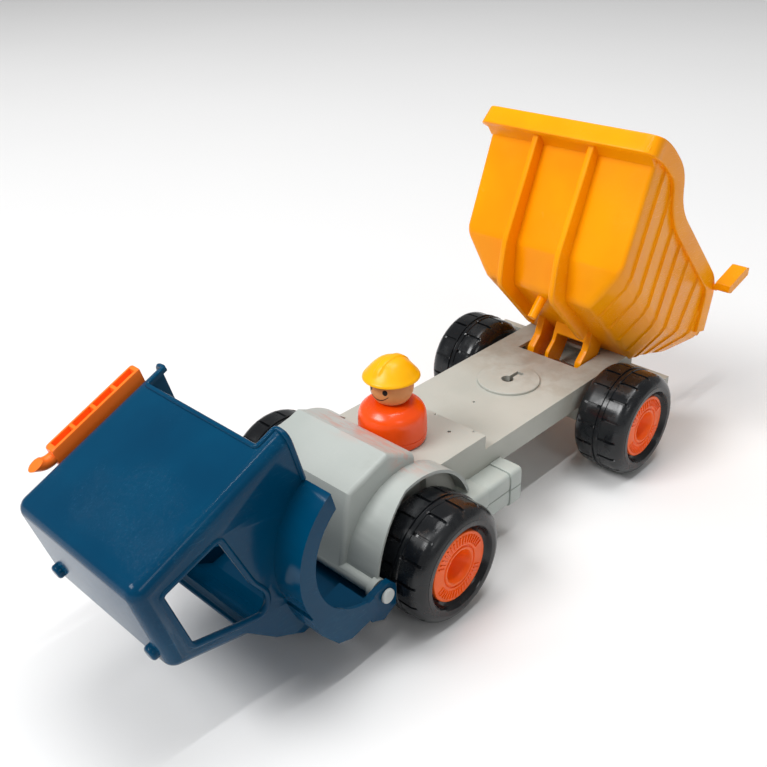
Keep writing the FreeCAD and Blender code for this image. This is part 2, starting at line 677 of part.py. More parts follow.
def bed():
    tub = overlap(bed_loft(0, "bed_tail_x", 0), side_prism(BED_SIDE_OUTER, ("-70", "70")))
    rim = side_prism(RIM_OUTER, ("-bed_rim_half_width", "bed_rim_half_width"))
    ribs = [
        side_prism(RIB_SIDE, (f"{side} * bed_rib_centre_y - bed_rib_thickness / 2",
                              f"{side} * bed_rib_centre_y + bed_rib_thickness / 2"))
        for side in BOTH_SIDES
    ]
    hollow = overlap(bed_loft("bed_wall", "-90.3", "bed_wall"), side_prism(BED_SIDE_INNER, ("-70", "70")))
    ears = [side_prism(EAR, y) for y in EAR_SPANS]
    bridge = side_prism(EAR_BRIDGE, (-6, 23.5))
    peg = post("peg_radius", ("bed_floor_z - peg_length", "bed_floor_z + 0.5"), "peg_centre_x")
    bore = round_bar("pin_radius + running_gap", ("-30", "30"), "bed_hinge_x", "bed_hinge_z")
    shape = cut(join(tub, rim, *ribs, *ears, bridge, peg), hollow, bore)
    piece(shape, "bed_tub", BED_POSE)
    rod = round_bar("pin_radius", ("-29.5", "29.5"), "bed_hinge_x", "bed_hinge_z")
    piece(chamfered_ends(rod, 0.4), "bed_hinge_rod")


HANDLE = [(-42.0, 147.5), (-46.6, 149.8), (-59.2, 171.4), (-55.6, 175.6), (-51.8, 173.6), (-40.2, 152.0)]


def tip_handle():
    """A finger tab at the bed's left rear corner, beside the rim."""
    neck = round_bar(2.2, ("bed_rim_half_width", "bed_rim_half_width + 3"), -44.4, 150.2)
    tab = rounded(side_prism(HANDLE, ("bed_rim_half_width + 2", "bed_rim_half_width + 13")), 1.2,
                  lambda edge, middle: abs(edge.tangentAt(edge.FirstParameter).y) > 0.9)
    piece(join(neck, tab), "tip_handle", BED_POSE)


# ---------------------------------------------------------------- driver
def driver():
    place = FreeCAD.Placement(V(number("driver_x"), 0, number("seat_top_z + rest_gap")), FreeCAD.Rotation())
    bore = "seat_peg_radius + 0.6"
    plug = turned("DriverPlug", "XZ_Plane", [
        (bore, 0), ("driver_radius - 1.2", 0), ("driver_radius", 1.2), ("driver_radius", "driver_base_height"),
        (bore, "driver_base_height")])
    piece(plug, "driver_base", place)
    body = turned("DriverBody", "XZ_Plane", [
        (bore, "driver_base_height"), ("driver_radius", "driver_base_height"),
        ("driver_radius", "driver_shoulder_height"),
        ("driver_radius - 1", "driver_shoulder_height + 1.8"), ("driver_neck_radius + 1", "driver_neck_height - 0.7"),
        ("driver_neck_radius", "driver_neck_height"), (0, "driver_neck_height"), (0, "seat_peg_height + 3"),
        (bore, "seat_peg_height + 3")])
    piece(body, "driver_body", place)
    ball = doc.addObject("Part::Sphere", "HeadBall")
    bind(ball, Radius="head_radius", Placement__Base__z="head_height")
    head = cut(ball, post(30, (-10, "driver_neck_height"), 0), post(30, ("hat_brim_height + 3", 90), 0))
    piece(head, "driver_head", place)
    brim = "hat_brim_radius"
    hat = turned("DriverHat", "XZ_Plane", [
        (0, "hat_brim_height + 3"), ("head_radius + 0.7", "hat_brim_height + 3"),
        ("head_radius + 0.7", "hat_brim_height + 0.6"), (brim, "hat_brim_height - 0.6"), (brim, "hat_brim_height + 0.4"),
        (f"{brim} - 2.2", "hat_brim_height + 2.6"), (f"{brim} - 4.2", "hat_brim_height + 5.4"),
        (f"{brim} - 7.4", "hat_top_height - 3.2"), (f"{brim} - 12", "hat_top_height - 0.6"), (0, "hat_top_height")])
    piece(hat, "driver_hat", place)


# ---------------------------------------------------------------- build, check and write
deck()
base()
screws()
locking_plate()
bonnet()
cab_pins()
tanks()
axles()
wheels()
cab()
exhaust()
bed()
tip_handle()
driver()
doc.recompute()

for item in doc.Objects:
    if "Invalid" in item.State or "Error" in item.State:
        raise RuntimeError(f"{item.Label} did not compute: {item.State}")

os.makedirs("parts", exist_ok=True)
box = FreeCAD.BoundBox()
for item in pieces:
    if item.Shape.isNull() or not item.Shape.isValid() or item.Shape.Volume <= 0:
        raise RuntimeError(f"{item.Label} has no sound shape")
    item.Shape.exportStep(f"parts/{item.Label}.step")
    box.add(item.Shape.optimalBoundingBox())
    print(f"{item.Label:20s} solids {len(item.Shape.Solids)}  volume {item.Shape.Volume / 1000:8.2f} cm3")
print(f"{len(pieces)} sub-parts, x {box.XMin:.2f}..{box.XMax:.2f}  y {box.YMin:.2f}..{box.YMax:.2f}  "
      f"z {box.ZMin:.2f}..{box.ZMax:.2f} mm")
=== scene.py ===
import json
import math

import bmesh
import bpy
import numpy as np
from mathutils import Matrix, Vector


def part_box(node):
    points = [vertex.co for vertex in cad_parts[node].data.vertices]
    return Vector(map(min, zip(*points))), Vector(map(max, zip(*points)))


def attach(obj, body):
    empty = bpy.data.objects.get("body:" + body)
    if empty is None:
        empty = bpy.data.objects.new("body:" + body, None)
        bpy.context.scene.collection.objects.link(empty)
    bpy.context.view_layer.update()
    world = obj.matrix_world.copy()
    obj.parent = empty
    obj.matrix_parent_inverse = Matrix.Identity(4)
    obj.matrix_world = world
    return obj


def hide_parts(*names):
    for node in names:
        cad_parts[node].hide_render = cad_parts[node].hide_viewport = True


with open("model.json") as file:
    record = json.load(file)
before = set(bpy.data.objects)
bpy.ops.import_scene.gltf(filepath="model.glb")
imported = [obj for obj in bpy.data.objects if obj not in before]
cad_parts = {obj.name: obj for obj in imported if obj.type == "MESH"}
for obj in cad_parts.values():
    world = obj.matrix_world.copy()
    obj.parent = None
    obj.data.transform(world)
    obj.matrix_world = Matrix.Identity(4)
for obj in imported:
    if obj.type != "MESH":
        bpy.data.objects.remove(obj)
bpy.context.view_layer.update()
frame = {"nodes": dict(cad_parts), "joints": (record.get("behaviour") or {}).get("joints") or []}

# A toy dump truck in moulded plastic.  Shapes are worked out in millimetres in the truck's own frame:
# x forward from the rear axle, y to the truck's left, z up from the floor.  The cab is worked out shut
# and the bed level, and both are then turned about their hinges to the open pose.

JOINTS = {joint["name"]: joint for joint in frame["joints"]}
REAR_AXLE_X = JOINTS["spin_rear_left"]["pos_m"][0]
WHEELBASE = (JOINTS["spin_front_left"]["pos_m"][0] - REAR_AXLE_X) * 1000
WHEEL_RADIUS = JOINTS["spin_rear_left"]["pos_m"][2] * 1000
TYRE_FACES = tuple(1000 * corner.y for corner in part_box("tyre_rear_left"))
FULL_TURN = 2 * math.pi


# ---------------------------------------------------------------- places
def in_truck(points):
    """Truck millimetres to the frame's metres: scaled by a thousandth and moved along x."""
    return np.asarray(points, float) * 0.001 + np.array([REAR_AXLE_X, 0, 0])


def about_hinge(points, joint, degrees):
    """Truck millimetres turned about a hinge along y, then to metres: the usual plane rotation in x and z."""
    moved = in_truck(points)
    x0, _, z0 = JOINTS[joint]["pos_m"]
    turn = math.radians(degrees)
    x, z = moved[..., 0] - x0, moved[..., 2] - z0
    moved[..., 0] = x0 + x * math.cos(turn) + z * math.sin(turn)
    moved[..., 2] = z0 - x * math.sin(turn) + z * math.cos(turn)
    return moved


def on_cab(points):
    """From the shut cab to the tipped cab."""
    return about_hinge(points, "cab_tilt", -JOINTS["cab_tilt"]["range_deg"][0])


def on_bed(points):
    """From the level bed to the raised bed."""
    return about_hinge(points, "bed_tip", -JOINTS["bed_tip"]["range_deg"][1])


# ---------------------------------------------------------------- surfaces
def make_mesh(name, points, faces, material, closed=True):
    """A mesh object from points in metres and faces as lists: doubles merged, faces turned outwards."""
    mesh = bpy.data.meshes.new(name)
    mesh.from_pydata(points.tolist(), [], faces)
    work = bmesh.new()
    work.from_mesh(mesh)
    bmesh.ops.remove_doubles(work, verts=work.verts, dist=2e-6)
    bmesh.ops.dissolve_degenerate(work, edges=work.edges, dist=1e-6)
    if closed:
        bmesh.ops.recalc_face_normals(work, faces=work.faces)
    work.to_mesh(mesh)
    work.free()
    return finish_object(name, mesh, material)


def finish_object(name, mesh, material):
    """Link a mesh as a smooth-shaded object whose sharp edges stay crisp."""
    mesh.materials.clear()
    mesh.materials.append(material)
    item = bpy.data.objects.new(name, mesh)
    bpy.context.scene.collection.objects.link(item)
    mesh.polygons.foreach_set("use_smooth", np.ones(len(mesh.polygons), bool))
    mesh.set_sharp_from_angle(angle=math.radians(38))
    return item


def grid_faces(rows, columns, wrap_rows=False, wrap_columns=False, first=0):
    """The quads of a grid of rows by columns points, as an array of index fours."""
    i = np.arange(rows if wrap_rows else rows - 1)[:, None]
    j = np.arange(columns if wrap_columns else columns - 1)[None, :]
    i2, j2 = (i + 1) % rows, (j + 1) % columns
    around = np.broadcast_arrays(i * columns + j, i2 * columns + j, i2 * columns + j2, i * columns + j2)
    corners = np.stack(around, -1)
    return (corners.reshape(-1, 4) + first).tolist()


def surface(name, points, place, material, wrap_rows=False, wrap_columns=False, caps=False):
    """A grid of points as a mesh.  With caps, the first and last rows are closed by flat faces."""
    rows, columns = points.shape[:2]
    faces = grid_faces(rows, columns, wrap_rows, wrap_columns)
    if caps:
        faces.append(list(range(columns))[::-1])
        faces.append(list(range((rows - 1) * columns, rows * columns)))
    return make_mesh(name, place(points.reshape(-1, 3)), faces, material)


def eased(corners, reach, steps=6, closed=True):
    """A polygon with each corner replaced by a curve.

    The curve at corner P runs from A, reach short of P on the way in, to B, reach past P on the way out:
    (1-s)^2 A + 2s(1-s) P + s^2 B for s from 0 to 1.  An open line keeps its two end points as they are.
    """
    corner = np.asarray(corners, float)
    reach = np.broadcast_to(np.asarray(reach, float), len(corner))[:, None]
    way_in = np.roll(corner, 1, 0) - corner
    way_out = np.roll(corner, -1, 0) - corner
    length_in = np.linalg.norm(way_in, axis=1, keepdims=True)
    length_out = np.linalg.norm(way_out, axis=1, keepdims=True)
    first = corner + way_in / length_in * np.minimum(reach, length_in * 0.48)
    last = corner + way_out / length_out * np.minimum(reach, length_out * 0.48)
    if not closed:
        first[0] = last[0] = corner[0]
        first[-1] = last[-1] = corner[-1]
    s = np.linspace(0, 1, steps)[None, :, None]
    curve = (1 - s) ** 2 * first[:, None] + 2 * s * (1 - s) * corner[:, None] + s ** 2 * last[:, None]
    curve = curve.reshape(-1, corner.shape[1])
    keep = np.r_[True, np.linalg.norm(np.diff(curve, axis=0), axis=1) > 1e-6]
    return curve[keep]


def inward(outline):
    """Unit normals of a closed plane outline that point to its inside."""
    along = np.roll(outline, -1, 0) - np.roll(outline, 1, 0)
    along /= np.linalg.norm(along, axis=1, keepdims=True) + 1e-12
    x, y = outline.T
    turn = np.sign(np.sum(x * np.roll(y, -1) - np.roll(x, -1) * y))
    return np.stack([-along[:, 1], along[:, 0]], 1) * turn


def slab_points(outline, y, edge, steps=5):
    """A plate across y; at both faces its outline (x, z) is drawn inwards by a quarter circle."""
    phi = np.linspace(0, math.pi / 2, steps)
    depth = np.r_[y[0] + edge * (1 - np.sin(phi[::-1])), y[1] - edge * (1 - np.sin(phi))]
    inset = np.r_[edge * (1 - np.cos(phi[::-1])), edge * (1 - np.cos(phi))]
    flat = outline[None] + inward(outline)[None] * inset[:, None, None]
    return np.stack([flat[..., 0], np.broadcast_to(depth[:, None], flat.shape[:2]), flat[..., 1]], -1)


def bar(name, corners, x, place, material, reach=2.0, edge=0.6):
    """A slab turned to lie along x, from an outline of (y, z) corners."""
    points = slab_points(eased(corners, reach), x, edge)[..., [1, 0, 2]]
    return surface(name, points, place, material, wrap_columns=True, caps=True)


def slab(name, corners, y, place, material, reach=2.0, edge=0.6):
    """A plate with rounded corners and rounded edges."""
    points = slab_points(eased(corners, reach), y, edge)
    return surface(name, points, place, material, wrap_columns=True, caps=True)


def spun(profile, axis, centre=(0, 0, 0), count=96):
    """A profile of (along, radius) pairs turned about an axis: radius times cosine and sine of the angle."""
    along, radius = np.asarray(profile, float).T
    angle = np.linspace(0, FULL_TURN, count, endpoint=False)
    one = radius[:, None] * np.cos(angle)
    two = radius[:, None] * np.sin(angle)
    run = np.broadcast_to(along[:, None], one.shape)
    order = {"y": (one, run, two), "z": (one, two, run)}[axis]
    return np.stack(order, -1) + np.asarray(centre, float)


ROD_GUIDE = [0.83, 0.25, 0.5]


def rod(path, radius, around=14, ring=False):
    """A round bar along a path: at each point a circle square to the path's direction.

    The circle starts square to a guide direction that no rod here runs along.  radius may be one
    number or one for each point of the path.  A ring's path closes on itself.
    """
    path = np.asarray(path, float)
    along = np.roll(path, -1, 0) - np.roll(path, 1, 0) if ring else np.gradient(path, axis=0)
    along /= np.linalg.norm(along, axis=1, keepdims=True)
    side = np.cross(along, ROD_GUIDE)
    side /= np.linalg.norm(side, axis=1, keepdims=True)
    up = np.cross(side, along)
    angle = np.linspace(0, FULL_TURN, around, endpoint=False)[None, :, None]
    size = np.broadcast_to(np.asarray(radius, float), len(path))[:, None, None]
    return path[:, None] + size * (side[:, None] * np.cos(angle) + up[:, None] * np.sin(angle))


def joined(name, pieces):
    """Several pieces as one object."""
    with bpy.context.temp_override(active_object=pieces[0], selected_editable_objects=pieces):
        bpy.ops.object.join()
    pieces[0].name = name
    return pieces[0]


def softened(node, name, material, width):
    """A moulded version of a plain solid: its faces merged and every sharp edge given a small round."""
    mesh = frame["nodes"][node].data.copy()
    work = bmesh.new()
    work.from_mesh(mesh)
    bmesh.ops.remove_doubles(work, verts=work.verts, dist=4e-6)
    bmesh.ops.dissolve_limit(work, angle_limit=math.radians(1.5), verts=work.verts, edges=work.edges)
    work.to_mesh(mesh)
    work.free()
    item = finish_object(name, mesh, material)
    bevel = item.modifiers.new("Rounded edges", "BEVEL")
    bevel.width = width * 0.001
    bevel.segments = 3
    bevel.limit_method = "ANGLE"
    bevel.angle_limit = math.radians(32)
    bevel.use_clamp_overlap = True
    bevel.harden_normals = True
    bevel.miter_outer = "MITER_ARC"
    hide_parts(node)
    return item


# ---------------------------------------------------------------- finishes
class Value:
    """A shader socket that Python's arithmetic works on; each operation adds one Math node."""

    def __init__(self, finish, socket):
        self.finish, self.socket = finish, socket

    def _math(self, operation, *values):
        return self.finish.node("ShaderNodeMath", {"operation": operation}, dict(enumerate(values)))

    def __add__(self, other):
        return self._math("ADD", self, other)

    def __radd__(self, other):
        return self._math("ADD", other, self)

    def __sub__(self, other):
        return self._math("SUBTRACT", self, other)

    def __rsub__(self, other):
        return self._math("SUBTRACT", other, self)

    def __mul__(self, other):
        return self._math("MULTIPLY", self, other)

    def __rmul__(self, other):
        return self._math("MULTIPLY", other, self)

    def size(self):
        """The value without its sign."""
        return self._math("ABSOLUTE", self)

    def clamp(self):
        """The value kept between 0 and 1."""
        return self._math("MINIMUM", self._math("MAXIMUM", self, 0.0), 1.0)


# The Mix node's sockets for its share and its two colours, and its colour output.
MIX_SHARE, MIX_LOW, MIX_HIGH, MIX_RESULT = 0, 6, 7, 2


class Finish:
    """A material built from expressions."""

    def __init__(self, name):
        self.material = bpy.data.materials.new(name)
        self.material.use_nodes = True
        self.tree = self.material.node_tree
        self.shader = self.tree.nodes["Principled BSDF"]
        self.place = self.node("ShaderNodeTexCoord", {}, {}, "Object")

    def node(self, kind, settings, inputs, output=0):
        """One node: its settings first, then its sockets' values or links; gives back one output."""
        made = self.tree.nodes.new(kind)
        for key, value in settings.items():
            setattr(made, key, value)
        for key, value in inputs.items():
            self.feed(made.inputs[key], value)
        return Value(self, made.outputs[output])

    def feed(self, socket, value):
        """Link an expression to a socket, or set the socket to a plain value."""
        if isinstance(value, Value):
            self.tree.links.new(value.socket, socket)
        else:
            socket.default_value = value

    def noise(self, scale, detail=2.0, roughness=0.5, stretch=(1, 1, 1), shift=(0, 0, 0), turn=(0, 0, 0)):
        """Cloudy noise on the frame's coordinates, after they are stretched, turned and shifted."""
        spot = self.node("ShaderNodeMapping", {}, {"Vector": self.place, "Scale": stretch, "Location": shift,
                                                   "Rotation": turn})
        return self.node("ShaderNodeTexNoise", {}, {"Vector": spot, "Scale": scale, "Detail": detail,
                                                    "Roughness": roughness}, "Fac")

    def between(self, value, low, high):
        """0 below low, 1 above high, a smooth step between."""
        return self.node("ShaderNodeMapRange", {"interpolation_type": "SMOOTHSTEP"},
                         {"Value": value, "From Min": low, "From Max": high})

    def near(self, centre, radius, fade, stretch=(1, 1, 1)):
        """1 inside a soft ball about a point in the frame, 0 outside it."""
        vector = "ShaderNodeVectorMath"
        offset = self.node(vector, {"operation": "SUBTRACT"}, {0: self.place, 1: tuple(centre)})
        scaled = self.node(vector, {"operation": "MULTIPLY"}, {0: offset, 1: tuple(stretch)})
        distance = self.node(vector, {"operation": "LENGTH"}, {0: scaled}, "Value")
        return 1 - self.between(distance, radius, radius + fade)

    def mix(self, share, one, two):
        """A colour mix: one where share is 0, two where it is 1."""
        low, high = (colour if isinstance(colour, Value) else (*colour, 1.0) for colour in (one, two))
        sockets = {MIX_SHARE: share, MIX_LOW: low, MIX_HIGH: high}
        return self.node("ShaderNodeMix", {"data_type": "RGBA"}, sockets, MIX_RESULT)

    def bump(self, height, distance, strength=1.0):
        """A normal from a height of 0 to 1 that stands for a distance in metres."""
        return self.node("ShaderNodeBump", {}, {"Strength": strength, "Distance": distance, "Height": height})

    def set(self, **sockets):
        """Feed the surface shader's sockets, their names written with underscores."""
        for name, value in sockets.items():
            self.feed(self.shader.inputs[name.replace("_", " ")], value)


def linear(red, green, blue):
    """Display colour of 0 to 255 to linear light."""
    shade = np.array([red, green, blue]) / 255
    light = np.where(shade <= 0.04045, shade / 12.92, ((shade + 0.055) / 1.055) ** 2.4)
    return tuple(float(part) for part in light)


def scratches(finish, scale, amount):
    """Thin broken lines: two stretched noises, each kept only close to its middle value."""
    lines = []
    for turn, shift in (((0.3, 0.5, 0.7), (0, 0, 0)), ((1.1, -0.4, 2.0), (3, 1, 2))):
        streak = finish.noise(scale, 1.0, 0.4, stretch=(1, 14, 14), shift=shift, turn=turn)
        line = 1 - finish.between((streak - 0.5).size(), 0.0, 0.012)
        patch = finish.between(finish.noise(scale * 0.35, 1.0, shift=(shift[0] + 5, 2, 7)), 0.5, 0.62)
        lines.append(line * patch)
    return (lines[0] + lines[1]).clamp() * amount


def plastic(name, colour, shade, roughness, gloss=0.3, wear=0.35, worn=None, grime=()):
    """Moulded plastic: slow drifts of tone, a faint ripple, fine grain, fine scratches and handling marks.

    colour and shade are the light and dark tones, gloss is the level of clear reflection, worn is the
    tone of scratches, and grime is a list of (mask maker, colour, strength) laid over the plastic.
    """
    finish = Finish(name)
    drift = finish.noise(18.0, 3.0)
    tone = finish.mix(finish.between(drift, 0.3, 0.7), colour, shade)
    scratch = scratches(finish, 60.0, wear)
    tone = finish.mix(scratch * 0.5, tone, worn or tuple(min(1.0, c * 1.3 + 0.04) for c in colour))
    rough = roughness + finish.noise(45.0, 3.0) * 0.10 + scratch * 0.25
    for mask_maker, stain, strength in grime:
        mask = mask_maker(finish) * strength
        tone = finish.mix(mask, tone, stain)
        rough = rough + mask * 0.25
    ripple = finish.noise(110.0, 1.0) * 0.3
    grain = finish.noise(1500.0, 2.0) * 0.05
    normal = finish.bump(ripple + grain - scratch * 0.35, 0.00022, 0.6)
    finish.set(Base_Color=tone, Roughness=rough, Normal=normal)
    finish.shader.inputs["Specular IOR Level"].default_value = gloss
    return finish.material


def steel(name, tint, roughness):
    """Drawn metal: fine lines along y and slow changes of tone."""
    finish = Finish(name)
    lines = finish.noise(900.0, 2.0, stretch=(1, 0.03, 1))
    tone = finish.mix(lines, tuple(0.8 * c for c in tint), tint)
    rough = roughness + lines * 0.15
    finish.set(Base_Color=tone, Roughness=rough, Metallic=1.0, Normal=finish.bump(lines, 0.00004, 0.5))
    return finish.material


def spot(x, y, z):
    """A point of the truck in the frame's metres."""
    return tuple(in_truck([x, y, z]))


def bonnet_scuffs(finish):
    """Rubbed stripes across the rear of the bonnet, where the driver's cab shuts."""
    place = finish.near(spot(186, 6, 86), 0.018, 0.022, stretch=(1.6, 0.75, 1.2))
    return place * finish.between(finish.noise(210.0, 3.0, 0.6, stretch=(1, 0.35, 1)), 0.44, 0.62)


def bed_grime(finish):
    """Brown dirt on the deck about the bed's hinge."""
    place = finish.near(spot(4, 0, 61.7), 0.030, 0.035, stretch=(1.0, 0.7, 1.0))
    return place * finish.between(finish.noise(70.0, 4.0, 0.6), 0.36, 0.62)


def general_dust(finish):
    """Faint uneven handling marks."""
    return finish.between(finish.noise(38.0, 5.0, 0.65, shift=(3, 1, 4)), 0.56, 0.78)


FINISHES = {
    "deck": plastic("grey deck plastic", linear(180, 181, 173), linear(172, 174, 166), 0.40, grime=[
        (bed_grime, linear(140, 120, 98), 0.32), (general_dust, linear(160, 156, 144), 0.15)]),
    "bonnet": plastic("grey bonnet plastic", linear(176, 181, 177), linear(168, 174, 170), 0.30, grime=[
        (bonnet_scuffs, linear(205, 140, 122), 0.55), (general_dust, linear(150, 150, 142), 0.22)]),
    "tank": plastic("grey tank plastic", linear(186, 192, 186), linear(174, 181, 176), 0.36, grime=[
        (general_dust, linear(150, 150, 142), 0.2)]),
    "pin": plastic("pale pin plastic", linear(196, 200, 198), linear(184, 188, 186), 0.38),
    "cab": plastic("blue cab plastic", linear(0, 64, 95), linear(0, 56, 86), 0.10, gloss=0.14, wear=0.4,
                   worn=linear(70, 130, 160)),
    "bed": plastic("yellow bed plastic", linear(255, 164, 0), linear(248, 152, 0), 0.20, gloss=0.2, wear=0.3,
                   worn=linear(255, 205, 90)),
    "hat": plastic("yellow hat plastic", linear(255, 186, 10), linear(250, 174, 0), 0.26, wear=0.2),
    "orange": plastic("orange body plastic", linear(255, 84, 6), linear(248, 74, 0), 0.20, gloss=0.5,
                      wear=0.25, worn=linear(255, 150, 90)),
    "hub": plastic("orange hub plastic", linear(252, 100, 10), linear(244, 90, 4), 0.26, wear=0.3,
                   worn=linear(255, 150, 100)),
    "trim": plastic("orange exhaust plastic", linear(255, 122, 36), linear(253, 112, 26), 0.26, wear=0.3,
                    worn=linear(255, 160, 110)),
    "skin": plastic("peach head plastic", linear(226, 156, 98), linear(218, 146, 90), 0.34, gloss=0.2,
                    wear=0.15),
    "ink": plastic("black paint", linear(20, 16, 18), linear(28, 22, 22), 0.3, wear=0.1),
    "axle": steel("axle steel", (0.62, 0.62, 0.64), 0.28),
    "screw": steel("screw steel", (0.55, 0.55, 0.57), 0.35),
}


def black_tyre():
    """Glossy black vinyl with dull patches and faint brown dust."""
    finish = Finish("black tyre vinyl")
    patch = finish.between(finish.noise(55.0, 4.0, 0.6), 0.42, 0.62)
    dust = finish.between(finish.noise(90.0, 5.0, 0.7, shift=(2, 5, 1)), 0.60, 0.78)
    tone = finish.mix(patch, linear(17, 19, 22), linear(27, 29, 31))
    tone = finish.mix(dust * 0.35, tone, linear(92, 72, 58))
    rough = 0.17 + patch * 0.16 + dust * 0.2
    height = finish.noise(260.0, 3.0) * 0.5 + finish.noise(60.0, 2.0) * 0.8
    finish.set(Base_Color=tone, Roughness=rough, Normal=finish.bump(height, 0.00015, 0.5))
    finish.shader.inputs["Specular IOR Level"].default_value = 0.4
    return finish.material


FINISHES["tyre"] = black_tyre()


def add(item, body, slot, *nodes):
    """Let a finished piece ride on a body and stand for CAD nodes; the slot argument is not used."""
    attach(item, body)
    if nodes:
        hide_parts(*nodes)
    return item


# ---------------------------------------------------------------- camera, floor and light
CAMERA_PLACE = [510.97, 331.78, 377.84]
CAMERA_YAW, CAMERA_PITCH, CAMERA_ROLL = -134.84, -28.59, -1.75
CAMERA_LENS, SENSOR_WIDTH = 44.91, 36.0
LENS_SHIFT = (0.0212, -0.0149)


def set_camera():
    """A camera at the truck's front left, above it, turned about its own line of sight by the roll."""
    yaw, pitch, roll = (math.radians(angle) for angle in (CAMERA_YAW, CAMERA_PITCH, CAMERA_ROLL))
    ahead = np.array([math.cos(yaw) * math.cos(pitch), math.sin(yaw) * math.cos(pitch), math.sin(pitch)])
    level = np.cross(ahead, [0, 0, 1])
    level /= np.linalg.norm(level)
    above = np.cross(level, ahead)
    right = level * math.cos(roll) + above * math.sin(roll)
    up = above * math.cos(roll) - level * math.sin(roll)
    lens = bpy.data.cameras.new("Camera")
    lens.sensor_width, lens.lens = SENSOR_WIDTH, CAMERA_LENS
    lens.shift_x, lens.shift_y = LENS_SHIFT
    lens.clip_start, lens.clip_end = 0.01, 20.0
    camera = bpy.data.objects.new("Camera", lens)
    turn = Matrix([list(row) for row in np.stack([right, up, -ahead], 1)]).to_4x4()
    camera.matrix_world = Matrix.Translation(in_truck(CAMERA_PLACE).tolist()) @ turn
    bpy.context.scene.collection.objects.link(camera)
    bpy.context.scene.camera = camera


def set_floor():
    """A wide pale disc just under the tyres: points at growing radius times cosine and sine."""
    finish = Finish("pale floor")
    drift = finish.noise(2.0, 2.0)
    finish.set(Base_Color=finish.mix(drift, (0.80, 0.80, 0.80), (0.83, 0.83, 0.83)), Roughness=0.8,
               Normal=finish.bump(finish.noise(300.0, 2.0), 0.0001, 0.2))
    radius = np.r_[0.001, np.geomspace(0.5, 12.0, 12)][:, None] * 1000
    angle = np.linspace(0, FULL_TURN, 96, endpoint=False)[None]
    height = np.full_like(radius * angle, -0.05)
    points = np.stack([radius * np.cos(angle), radius * np.sin(angle), height], -1)
    faces = [face[::-1] for face in grid_faces(*points.shape[:2], wrap_columns=True)]
    floor = make_mesh("floor", points.reshape(-1, 3) * 0.001, faces, finish.material, closed=False)


def add_light(name, place, aim, size, power):
    """A white rectangular lamp at a place, facing its aim: metres and watts."""
    lamp = bpy.data.lights.new(name, "AREA")
    lamp.shape = "RECTANGLE"
    lamp.size, lamp.size_y = size
    lamp.energy = power
    item = bpy.data.objects.new(name, lamp)
    away = Matrix.Translation(place).translation - Matrix.Translation(aim).translation
    item.matrix_world = Matrix.Translation(place) @ away.to_track_quat("Z", "Y").to_matrix().to_4x4()
    bpy.context.scene.collection.objects.link(item)


def set_light():
    """An even room with softboxes overhead, in front and to the left, and a long thin strip above."""
    world = bpy.data.worlds.new("Studio")
    world.use_nodes = True
    world.node_tree.nodes["Background"].inputs["Color"].default_value = (1.0, 1.0, 1.0, 1.0)
    world.node_tree.nodes["Background"].inputs["Strength"].default_value = 0.30
    bpy.context.scene.world = world
    add_light("overhead", (-0.4, -0.4, 3.2), (0, 0, 0), (1.9, 1.3), 38.0)
    add_light("front", (2.6, -0.9, 3.0), (0, 0, 0.05), (1.8, 1.3), 108.0)
    add_light("left", (1.2, 3.1, 2.5), (0, 0, 0.05), (0.9, 0.65), 9.0)
    add_light("strip", (0.15, 0.5, 2.8), (0.15, 0, 0.05), (1.5, 0.06), 16.0)
    bpy.context.scene.view_settings.view_transform = "Standard"
    bpy.context.scene.view_settings.look = "None"


# ---------------------------------------------------------------- wheels
TREAD_STEPS = 16
TREAD_DEPTH = 1.5
TREAD_SINK, GROOVE_SINK = 0.7, 0.9
SLOT_HALF_ANGLE, SLOT_EASE = 1.5, 0.3
TREAD_PHASE = {"front": 7, "rear": 2}
WELL = [(32.6, 21.4), (33.0, 22.6), (34.6, 24.0), (36.6, 24.6), (37.5, 25.4), (37.7, 26.6), (37.7, 28.4)]
SHOULDER = 8.4


def tyre_profile():
    """The tyre's section: from the well beside the hub, over the tread, and back inside the wheel.

    Each shoulder is a quarter of a circle.  Two ridges and a groove run round the middle of the tread.
    """
    width = TYRE_FACES[1] - TYRE_FACES[0]
    phi = np.linspace(0, math.pi / 2, 12)[1:]
    block_radius = WHEEL_RADIUS - TREAD_SINK
    arc = np.stack([width - SHOULDER * (1 - np.cos(phi)), block_radius - SHOULDER * (1 - np.sin(phi))], 1)
    steps = [(28.6, TREAD_SINK), (24.0, TREAD_SINK), (21.8, TREAD_SINK), (21.3, TREAD_SINK), (21.0, 0.0),
             (20.2, 0.0), (19.9, GROOVE_SINK), (width / 2, GROOVE_SINK)]
    tread = np.array([(along, WHEEL_RADIUS - sink) for along, sink in steps])
    outer = np.concatenate([WELL, arc, tread])
    inner = np.concatenate([arc, tread])[::-1]
    inner = np.stack([width - inner[:, 0], inner[:, 1]], 1)[1:]
    back = [(0.0, 28.0), (0.0, 24.5), (0.5, 23.0), (0.9, 21.4)]
    return np.concatenate([outer, inner, back])


